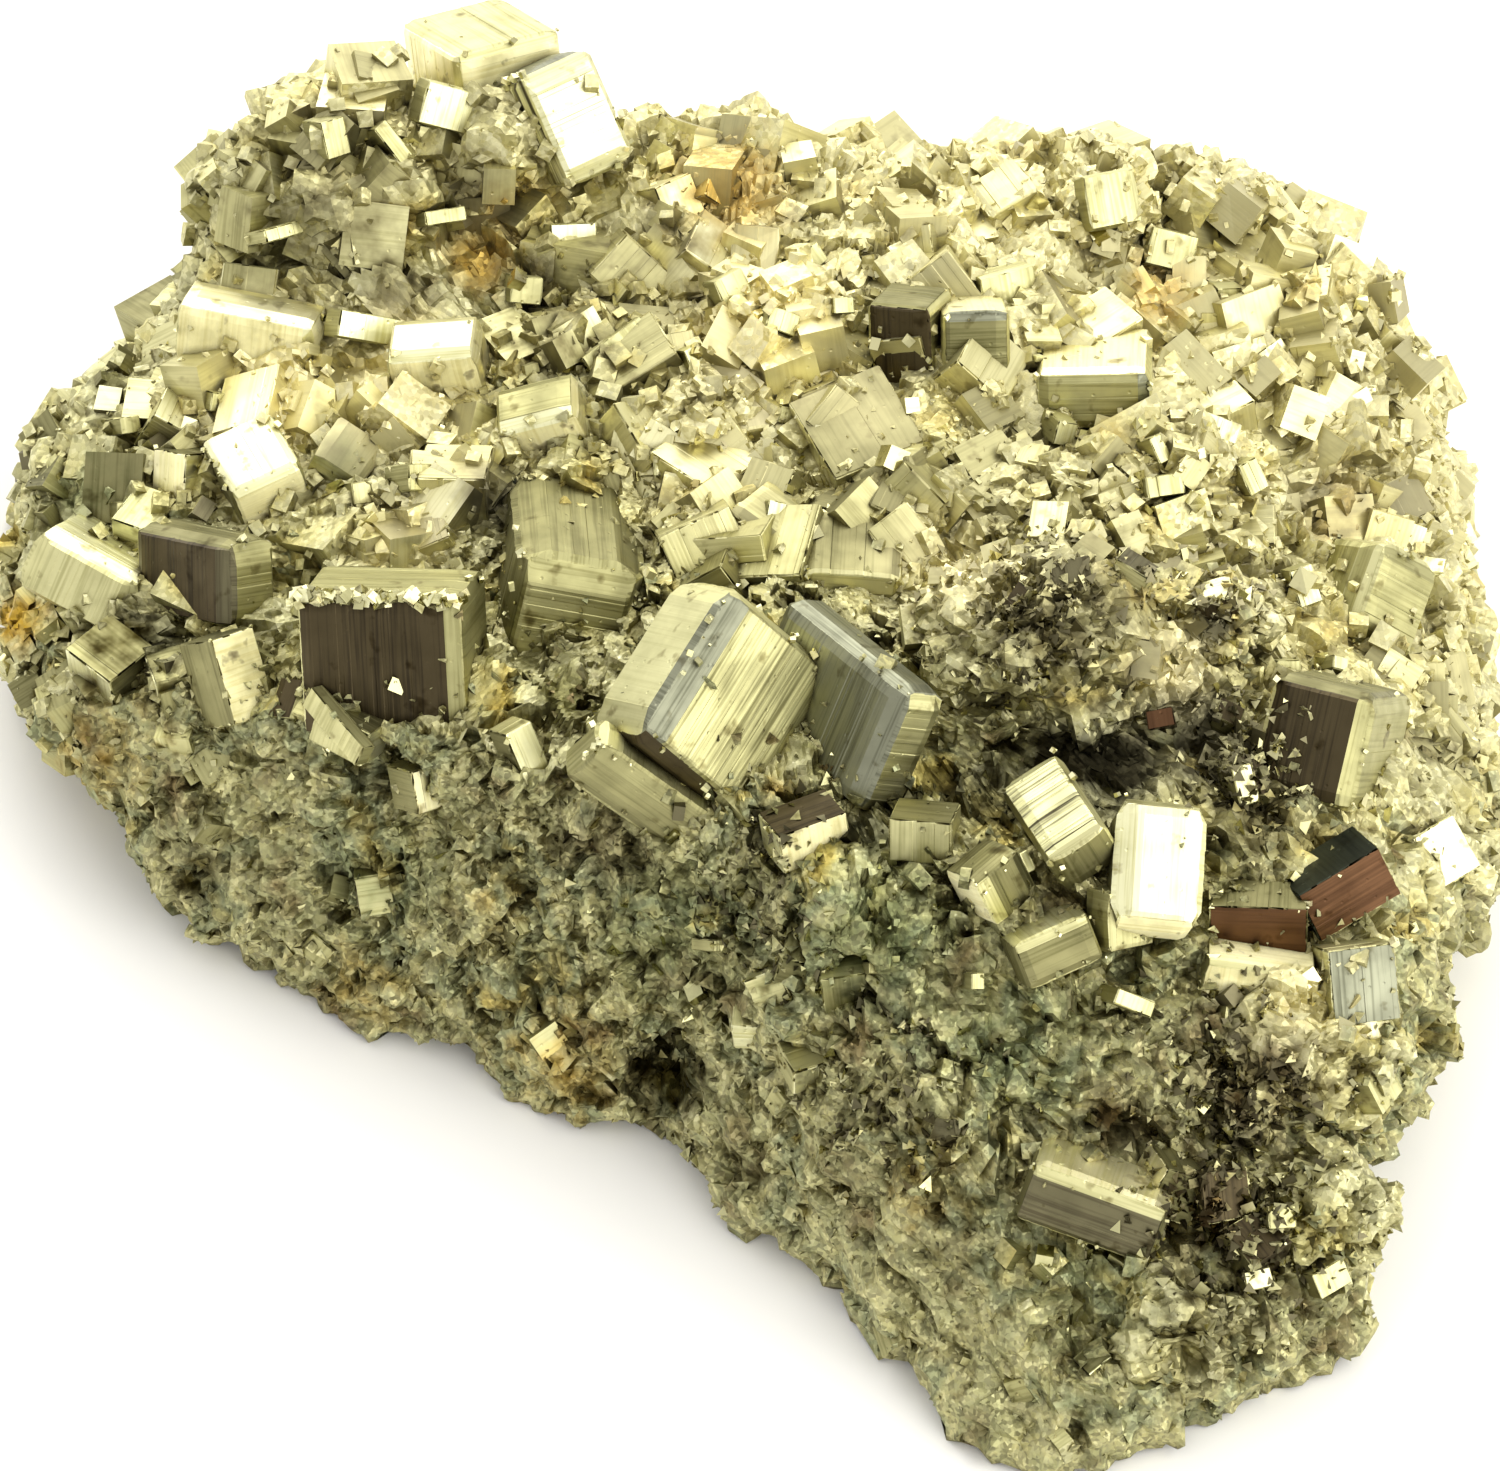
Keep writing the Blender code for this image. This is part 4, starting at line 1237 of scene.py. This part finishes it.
# How many on each of its two lumps and how far they lean off its surface in degrees.
# Then sizes, depths and looks as for the merged cubes.
KNOB_CUBES = 150
KNOB_LEAN = 11.0
KNOB_SIZES = (0.55, 0.6, 1.5)
KNOB_SUNK = (0.90, 1.10)
KNOB_LOOKS = (0.07, 0.24, 0.26, 0.22, 0.10)
sides = []
for points, faces in lump_parts[:2]:
    places, _, _ = spots_on(points, faces, KNOB_CUBES, rng)
    out = places - points.mean(0)
    sides.append((places, out / np.linalg.norm(out, axis=1)[:, None]))
places, normals = (np.concatenate(both) for both in zip(*sides))
keep = room_round(places)
places, normals = places[keep], normals[keep]
sizes = skewed(len(places), *KNOB_SIZES, rng)
turns = lying_turns(normals, KNOB_LEAN, rng)
knob_cubes = merged(
    "knob_cubes", places, normals, turns, sizes, KNOB_SUNK, "wpmkb", KNOB_LOOKS, rng
)

# FLAKES
# Small fresh crystals of 0.4 to 2.6 mm, grown into the crust, that happen to lie so
# that one face mirrors the lamp at the right: the glints of the photo. Same pyrite.

# Across, up, half width, half height and turn in degrees, all as seen.
FLAKES = (
    (12.7, -6.2, 1.0, 1.1, 20), (16.2, -9.2, 0.3, 0.8, -12), (18.1, -16.5, 0.5, 0.4, 10),
    (17.3, -18.7, 0.5, 0.35, 5), (19.7, -18.6, 0.7, 0.5, 30), (12.9, -9.1, 0.8, 0.3, -25),
    (9.1, -4.4, 0.4, 0.4, 30), (16.8, -1.7, 0.4, 0.7, 20), (-13.6, 8.4, 0.4, 0.4, 0),
    (-18.8, 11.7, 0.4, 0.35, 0), (-21.9, 10.8, 0.4, 0.3, 10), (-21.9, 7.8, 0.35, 0.35, 0),
    (-13.4, 14.2, 1.3, 0.5, -8), (-11.5, 8.9, 1.0, 0.5, 0), (-3.2, 9.5, 0.3, 0.5, 0),
    (0.6, 7.4, 0.35, 0.7, 0), (-4.8, 13.6, 1.3, 0.3, 40), (1.1, 11.2, 0.3, 0.3, 0),
    (16.0, 10.7, 0.9, 0.4, -20), (17.2, 9.0, 0.4, 0.6, 20), (14.2, 8.6, 0.7, 0.4, 10),
    (14.0, 9.9, 0.25, 0.5, 30), (19.1, 5.2, 0.45, 0.7, 15), (18.3, 2.3, 0.5, 0.35, 0),
    (20.0, 2.4, 0.35, 0.25, 0), (10.7, 10.7, 0.4, 0.45, 0), (21.2, 11.6, 0.5, 0.5, 0),
    (-14.8, 20.9, 0.5, 0.7, 15), (-12.7, 20.7, 0.3, 0.8, 35), (-10.7, 22.0, 1.0, 0.8, -20),
    (-6.4, 17.4, 0.9, 0.5, 0), (-16.4, 17.6, 1.1, 0.25, 20), (-10.9, 18.1, 0.8, 0.25, 10),
    (-8.0, 15.6, 0.6, 0.5, 0), (-18.3, 15.3, 0.4, 0.4, 0), (12.5, 18.7, 1.0, 1.0, 10),
    (14.6, 17.0, 0.9, 0.7, -20), (8.8, 15.5, 1.1, 0.8, 15), (5.2, 18.1, 0.6, 0.4, 0),
    (18.1, 13.2, 0.6, 0.5, 20), (16.6, 15.2, 0.5, 0.6, 0), (23.6, 5.3, 0.4, 0.4, 0),
    (-0.8, 15.6, 0.6, 0.5, 20), (0.9, 14.4, 0.6, 0.4, -15), (1.9, 16.6, 0.5, 0.4, 40),
    (3.0, 14.9, 0.4, 0.3, 0), (-2.2, 13.2, 0.4, 0.4, 30), (4.1, -8.0, 0.3, 0.2, 0),
    (5.6, -5.2, 0.4, 0.2, -20), (7.6, -8.4, 0.25, 0.3, 0), (-1.4, -7.2, 0.3, 0.2, 10),
)
# Half their depth, how far they rise and how wide their edges are cut, in mm and as a
# share; the lamp's compass direction and height, and how far astray they lie, in degrees.
FLAKE_DEPTH = 0.7
FLAKE_RISE = 0.25
FLAKE_TRIM = 0.12
KEY = (120, 34)
ASTRAY = 6.0


def lamp_way(compass, height):
    """Direction to a lamp from its compass direction and height in degrees."""
    a = math.radians(compass)
    h = math.radians(height)
    return Vector((math.sin(a) * math.cos(h), math.cos(a) * math.cos(h), math.sin(h)))


def lying_spin(normal, turn):
    """The turn of a block whose z side faces along normal, rolled by turn degrees."""
    across = sight_frame().col[0]
    side = across - normal * normal.dot(across)
    side = (Matrix.Rotation(math.radians(turn), 3, normal) @ side).normalized()
    return Matrix((side, normal.cross(side), normal)).transposed()


coarse = joined([arrays_of(body), (lump_points, lump_faces)])
ground_tree = tree_of(*coarse)
blocks = []
for across, up, wide, high, turn in FLAKES:
    place = meet(ground_tree, across, up) + towards * FLAKE_RISE
    tilts = rng.normal(size=3) * math.radians(ASTRAY)
    spin = lying_spin((towards + lamp_way(*KEY)).normalized(), turn) @ Euler(tilts).to_matrix()
    half = (wide, high, FLAKE_DEPTH)
    letters = ["m", "p", "m", "p", "m", rng.choice(["p", "p", "f"]), "p"]
    trim = FLAKE_TRIM * min(wide, high)
    blocks.append(striated_block(place, spin, half, trim, "a", letters, rng, SMALL_WIDE))
flakes = block_piece("flakes", blocks)

# SHARDS
# A thin plate that grew over the foot of the dark crystal at the left, and dark little
# crystals in the middle mass. Same striated pyrite, each lying on what it grew on.

# Across, up, half width, half height and half depth, turn in degrees, and the looks of
# the face that shows and of the sides.
SHARDS = (
    (-14.2, 0.35, 1.60, 0.45, 0.30, -33, "p", "m"),
    (-15.9, 1.2, 0.60, 0.80, 0.25, -20, "d", "m"),
    (16.1, 4.5, 0.80, 0.75, 0.60, 15, "d", "f"),
    (14.2, 0.5, 0.50, 0.35, 0.50, 10, "r", "d"),
    (13.2, 5.6, 0.70, 0.50, 0.50, -25, "b", "p"),
    (11.0, 5.6, 0.80, 0.45, 0.30, 12, "b", "m"),
    (9.4, 4.6, 0.55, 0.40, 0.40, 40, "d", "p"),
    (17.2, -1.6, 0.60, 0.90, 0.40, 12, "d", "o"),
    (16.4, 0.6, 0.50, 0.50, 0.40, -15, "d", "o"),
    (-9.0, 8.6, 0.90, 0.35, 0.30, -5, "i", "b"),
)
# How wide their edges are cut, as a share.
SHARD_TRIM = 0.1
grown_tree = tree_of(*joined([coarse, large]))
blocks = []
for across, up, wide, high, deep, turn, face, side in SHARDS:
    place, normal, *_ = grown_tree.ray_cast(unseen(across, up, EYE), -towards)
    spin = lying_spin(normal, turn)
    half = (wide, high, deep)
    letters = [side] * 5 + [face, side]
    trim = SHARD_TRIM * high
    blocks.append(striated_block(place, spin, half, trim, "a", letters, rng, SMALL_WIDE))
shards = block_piece("shards", blocks)

# GRANULAR CRUST
# Tens of thousands of crystal grains of 0.1 to 1 mm, little cubes on the top and
# broken chips down the front, grown into one crust. Each grain mirrors the light its
# own way, so the crust glitters a little.

CHIP = np.array([(1, 1, 1), (1, -1, -1), (-1, 1, -1), (-1, -1, 1)], float)
CHIP_FACES = np.array([(0, 1, 2), (0, 3, 1), (0, 2, 3), (1, 3, 2)])
# How uneven the chips are, and how ragged the grains' corners, as shares of their size.
CHIP_UNEVEN = (0.5, 1.1)
GRAIN_RAGGED = 0.1


def chip_mesh(places, sizes, rng):
    """Little four-faced chips, one at each place."""
    uneven = rng.uniform(*CHIP_UNEVEN, (len(places), 4, 1))
    corners = CHIP[None] * sizes[:, None, None] * uneven
    return strewn(places, random_turns(len(places), rng), corners, CHIP_FACES)


# Where grains glint as seen: across, up, radius in mm and the share that do. Those
# grains are smooth and mirror the lamps in bright specks. DULL is the share elsewhere.
GLITTER = (
    (-1.0, -5.2, 4.0, 0.35), (3.5, -7.4, 4.0, 0.35), (12.0, 3.0, 4.8, 0.4),
    (18.5, -1.6, 3.6, 0.35), (8.0, -11.0, 4.0, 0.25), (17.6, -12.4, 5.0, 0.45),
    (14.0, -20.0, 4.0, 0.25), (2.6, 9.8, 5.0, 0.25), (16.4, 7.4, 3.4, 0.35),
)
DULL = 0.04
# Where grains are tarnished brown, in the same terms, between the glinting ones. The spots
# beside the dark band under the middle mass and under the largest crystal are painted shade.
BROWN_AND_SHADED = (
    (16.7, -12.2, 2.3, 0.65), (16.8, -16.2, 2.4, 0.6), (10.0, 4.4, 2.3, 0.6),
    (16.3, 4.6, 1.3, 0.6), (17.2, -0.8, 1.7, 0.7), (0.4, -5.4, 2.2, 0.25),
    (5.4, -12.0, 2.4, 0.25),
)
CLEAN = 0.01


def among(places, spots, least, rng):
    """Whether the grain at each place is one of those strewn round some spots."""
    return rng.random(len(places)) < in_spots(places, spots, least)


def grain_looks(dull):
    """The materials of grains: a dull one, glinting and brown."""
    return [dull] + [pyrites[SLOT[letter]] for letter in "zb"]


# Crust pieces: name, whether they cover the front, whether they only gather at the
# feet of crystals, how many grains, half sizes from and to in mm, and their shape.
CRUSTS = (
    ("top_grains", False, False, 7000, 0.08, 0.36, "cubes"),
    ("front_chips", True, False, 16000, 0.08, 0.28, "chips"),
    ("top_chips", False, False, 16000, 0.06, 0.18, "chips"),
    ("top_collars", False, True, 5000, 0.10, 0.42, "cubes"),
    ("front_collars", True, True, 2500, 0.10, 0.38, "cubes"),
)
# How many times more are tried on the front and elsewhere, how much more often they are
# little, how low and how far underneath they can sit, and how many the knob keeps.
TRIED_MORE = {True: 6, False: 4}
MORE_LITTLE = 2
FLOOR_ROOM = 0.25
GRAINS_UNDER = -0.6
ON_KNOB = 0.3
# How high the crust reaches all over and then climbs up the crystals from the ground in
# mm, the share of it that is strewn all over them, and how deep its grains are sunk.
CLIMB_FROM = 0.2
CLIMB = 0.35
STREWN = 0.03
GRAIN_SUNK = (0.0, 0.6)


def climbing(places, rng):
    """Whether a grain sits at each place: likely near the ground, seldom far above."""
    height = np.array([ground_tree.find_nearest(place)[3] for place in places])
    above = np.clip(height - CLIMB_FROM, 0, None)
    return rng.random(len(places)) < STREWN + np.exp(-above / CLIMB)


crystals = [cubes, knob_cubes, flakes, shards, small, large]
everywhere = joined([(ground_points, ground_faces)] + crystals)
feet = joined(crystals)
for name, in_front, at_feet, count, low, high, kind in CRUSTS:
    surface = feet if at_feet else everywhere
    places, normals, ground = spots_on(*surface, count * TRIED_MORE[in_front], rng)
    keep = (frontness(ground) > MOSTLY) == in_front
    keep &= (places[:, 2] > FLOOR_ROOM) & (normals[:, 2] > GRAINS_UNDER)
    keep &= off_knob(places) | (rng.random(len(places)) < ON_KNOB)
    places, normals = places[keep], normals[keep]
    chosen = np.flatnonzero(climbing(places, rng))[:count]
    places, normals = places[chosen], normals[chosen]
    sizes = low * (high / low) ** (rng.random(len(places)) ** MORE_LITTLE)
    places = places - normals * (sizes * rng.uniform(*GRAIN_SUNK, len(places)))[:, None]
    if kind == "cubes":
        halves = sizes[:, None] * rng.uniform(*STRETCH, (len(places), 3))
        turns = random_turns(len(places), rng)
        points, faces = block_mesh(places, halves, turns, GRAIN_RAGGED, rng)
    else:
        points, faces = chip_mesh(places, sizes, rng)
    slots = np.where(among(places, BROWN_AND_SHADED, CLEAN, rng), 2, 0)
    slots[among(places, GLITTER, DULL, rng)] = 1
    slots = np.repeat(slots, len(faces) // len(places))
    coords = np.zeros((len(faces), faces.shape[1], 2))
    looks = grain_looks(broken_pyrite if in_front else merged_pyrite)
    piece(name, points, faces, looks, slots=slots, coords=coords)

# BROWN GRAINS
# Grains of 0.1 to 0.5 mm, half of them smooth and tarnished brown, grown in dark patches
# on the lobe and the middle mass, and as painted shade beside the dark band under the mass
# and under the largest crystal. The fresh ones between them sparkle.

# How many, their sizes and how deep they are sunk in mm, and the shares of dull, glinting
# and brown ones.
BROWN_GRAINS = 7000
BROWN_SIZES = (0.09, 0.22)
BROWN_SUNK = 0.03
BROWN_SHARES = (0.26, 0.25, 0.49)
points, faces = everywhere
corners = points[faces]
ways = np.cross(corners[:, 1] - corners[:, 0], corners[:, 2] - corners[:, 0])
brown_and_shaded_faces = among(corners.mean(1), BROWN_AND_SHADED, 0, rng) & (ways @ np.array(towards) > 0)
places, normals, _ = spots_on(*part_of(points, faces, brown_and_shaded_faces), BROWN_GRAINS, rng)
sizes = rng.uniform(*BROWN_SIZES, len(places))
points, faces = chip_mesh(places - normals * BROWN_SUNK, sizes, rng)
slots = np.repeat(rng.choice(3, len(places), p=BROWN_SHARES), len(CHIP_FACES))
coords = np.zeros((len(faces), 3, 2))
looks = grain_looks(merged_pyrite)
piece("brown_grains", points, faces, looks, slots=slots, coords=coords)

# SPARKLES
# Tiny fresh cubes of 0.1 to 0.5 mm grown on the edges of the large crystals, in clumps,
# and in a row all along the top edge of the dark one at the left. They glint.

# How many there are at most to a millimetre of half an edge, how far from its middle, as
# a share, their clump can lie and how long it is. How far in from the edge they sit in
# mm, and how much an edge that carries any faces the viewer.
MOST_BY_EDGE = 3.2
CLUMP_OFF = 0.8
CLUMP = 0.45
EDGE_BAND = 0.4
EDGE_SEEN = 0.3
# The crystal with the row of them, how many and how far back and down from the edge they
# sit in mm, with more of them near it.
BEADED = 3
BEADS = 150
BEAD_BACK = 0.55
BEAD_DOWN = 0.275
NEAR_BACK = 1.5
NEAR_DOWN = 3
# Sizes, how uneven and ragged they are, and the shares of fresh looks.
SPARKLE_SIZES = (0.035, 0.09, 2)
BEAD_SIZES = (0.07, 0.2)
SPARKLE_STRETCH = (0.7, 1.3)
SPARKLE_RAGGED = 0.2
SPARKLE_LOOKS = {"z": 0.4, "w": 0.25, "f": 0.2, "p": 0.15}


def edge_spots(centre, half, turns, rng):
    """Places along the edges of a block that face the viewer."""
    spin = spin_of(turns)
    found = []
    for i in range(3):
        j, k = (i + 1) % 3, (i + 2) % 3
        for a in (-1, 1):
            for b in (-1, 1):
                out = spin.col[j] * a + spin.col[k] * b
                if out.dot(towards) < EDGE_SEEN:
                    continue
                clump = rng.uniform(-CLUMP_OFF, CLUMP_OFF)
                rich = MOST_BY_EDGE * half[i] * rng.random() ** 2
                for _ in range(rng.poisson(rich)):
                    share = max(-1, min(1, clump + rng.normal() * CLUMP))
                    along = spin.col[i] * half[i] * share
                    side = spin.col[j] * a * (half[j] - EDGE_BAND * rng.random() ** 2)
                    rest = spin.col[k] * b * (half[k] - EDGE_BAND * rng.random() ** 2)
                    found.append(centre + along + side + rest)
    return found


def beads(centre, half, turns, rng):
    """Places along the top edge of a block as seen, back from it on the top face."""
    spin = spin_of(turns)
    up = sight_frame().col[1]
    across = sight_frame().col[0]
    i, j, k = sorted(range(3), key=lambda a: (-abs(spin.col[a].dot(across)), -a))
    j, k = sorted((j, k), key=lambda a: -abs(spin.col[a].dot(up)))
    top = spin.col[j] * math.copysign(1, spin.col[j].dot(up))
    front = spin.col[k] * math.copysign(1, spin.col[k].dot(towards))
    found = []
    for _ in range(BEADS):
        back = BEAD_BACK * rng.random() ** NEAR_BACK
        down = BEAD_DOWN * rng.random() ** NEAR_DOWN
        along = spin.col[i] * half[i] * rng.uniform(-1, 1)
        found.append(centre + along + top * (half[j] - down) + front * (half[k] - back))
    return found


spots = []
for centre, half, turns, *_ in large_crystals:
    spots += edge_spots(centre, half, turns, rng)
strung = beads(*large_crystals[BEADED][:3], rng)
places = np.array(spots + strung)
sizes = skewed(len(places), *SPARKLE_SIZES, rng)
sizes[len(spots):] = rng.uniform(*BEAD_SIZES, len(strung))
halves = sizes[:, None] * rng.uniform(*SPARKLE_STRETCH, (len(places), 3))
turns = random_turns(len(places), rng)
points, faces = block_mesh(places, halves, turns, SPARKLE_RAGGED, rng)
fresh = [SLOT[letter] for letter in SPARKLE_LOOKS]
slots = np.repeat(rng.choice(fresh, len(places), p=list(SPARKLE_LOOKS.values())), 6)
coords = flat_coords(sizes)
piece("sparkles", points, faces, pyrites, slots=slots, coords=coords, filmed=False)

# THE STAGE
# A plain pale floor, soft lights and the camera at the photograph's viewing angle.

FLOOR_HALF = 2.0
floor_mesh = bpy.data.meshes.new("floor")
floor_mesh.from_pydata(
    [(x * FLOOR_HALF, y * FLOOR_HALF, 0) for x, y in ((-1, -1), (1, -1), (1, 1), (-1, 1))],
    [], [(0, 1, 2, 3)],
)
floor = bpy.data.objects.new("floor", floor_mesh)
bpy.context.scene.collection.objects.link(floor)
paper = bpy.data.materials.new("pale paper sweep")
paper.use_nodes = True
paper_shader = paper.node_tree.nodes["Principled BSDF"]
paper_shader.inputs["Base Color"].default_value = linear("#f2f1ee")
paper_shader.inputs["Roughness"].default_value = 0.9
floor_mesh.materials.append(paper)

world = bpy.data.worlds.new("soft studio")
bpy.context.scene.world = world
world.use_nodes = True
backdrop = world.node_tree.nodes["Background"]
backdrop.inputs["Color"].default_value = (1.0, 0.985, 0.97, 1)
backdrop.inputs["Strength"].default_value = 1.02

# Square soft lamps: name, compass direction and height in degrees, width in m and watts.
# All stand as far off, are aimed at the piece's middle and are slightly warm.
LAMPS = (("key", *KEY, 0.62, 2.8), ("back", -10, 34, 0.60, 2.7))
LAMPS_OFF = 0.5
AIM = MIDDLE * MM + Vector((0, 0, 0.01))
WARM = (1.0, 0.99, 0.94)
for name, compass, height, size, watts in LAMPS:
    lamp = bpy.data.lights.new(name, "AREA")
    lamp.shape = "SQUARE"
    lamp.size = size
    lamp.energy = watts
    lamp.color = WARM
    made = bpy.data.objects.new(name, lamp)
    way = lamp_way(compass, height)
    made.location = AIM + way * LAMPS_OFF
    made.rotation_euler = way.to_track_quat("Z", "Y").to_euler()
    bpy.context.scene.collection.objects.link(made)

# The camera stands well back, so edges stay nearly parallel, as in the photograph. A
# pixel of the photograph in mm, how many it is wide, and how far off the camera is in m.
PIXEL = 0.035
WIDE = 1500
DISTANCE = 1.2
camera_data = bpy.data.cameras.new("camera")
camera_data.sensor_width = 36
camera_data.lens = camera_data.sensor_width * DISTANCE / (WIDE * PIXEL * MM)
camera_data.clip_start = 0.05
camera = bpy.data.objects.new("camera", camera_data)
look = sight_frame()
camera.matrix_world = Matrix.Translation(MIDDLE * MM + look.col[2] * DISTANCE) @ look.to_4x4()
bpy.context.scene.collection.objects.link(camera)
bpy.context.scene.camera = camera
bpy.context.scene.view_settings.view_transform = "Standard"
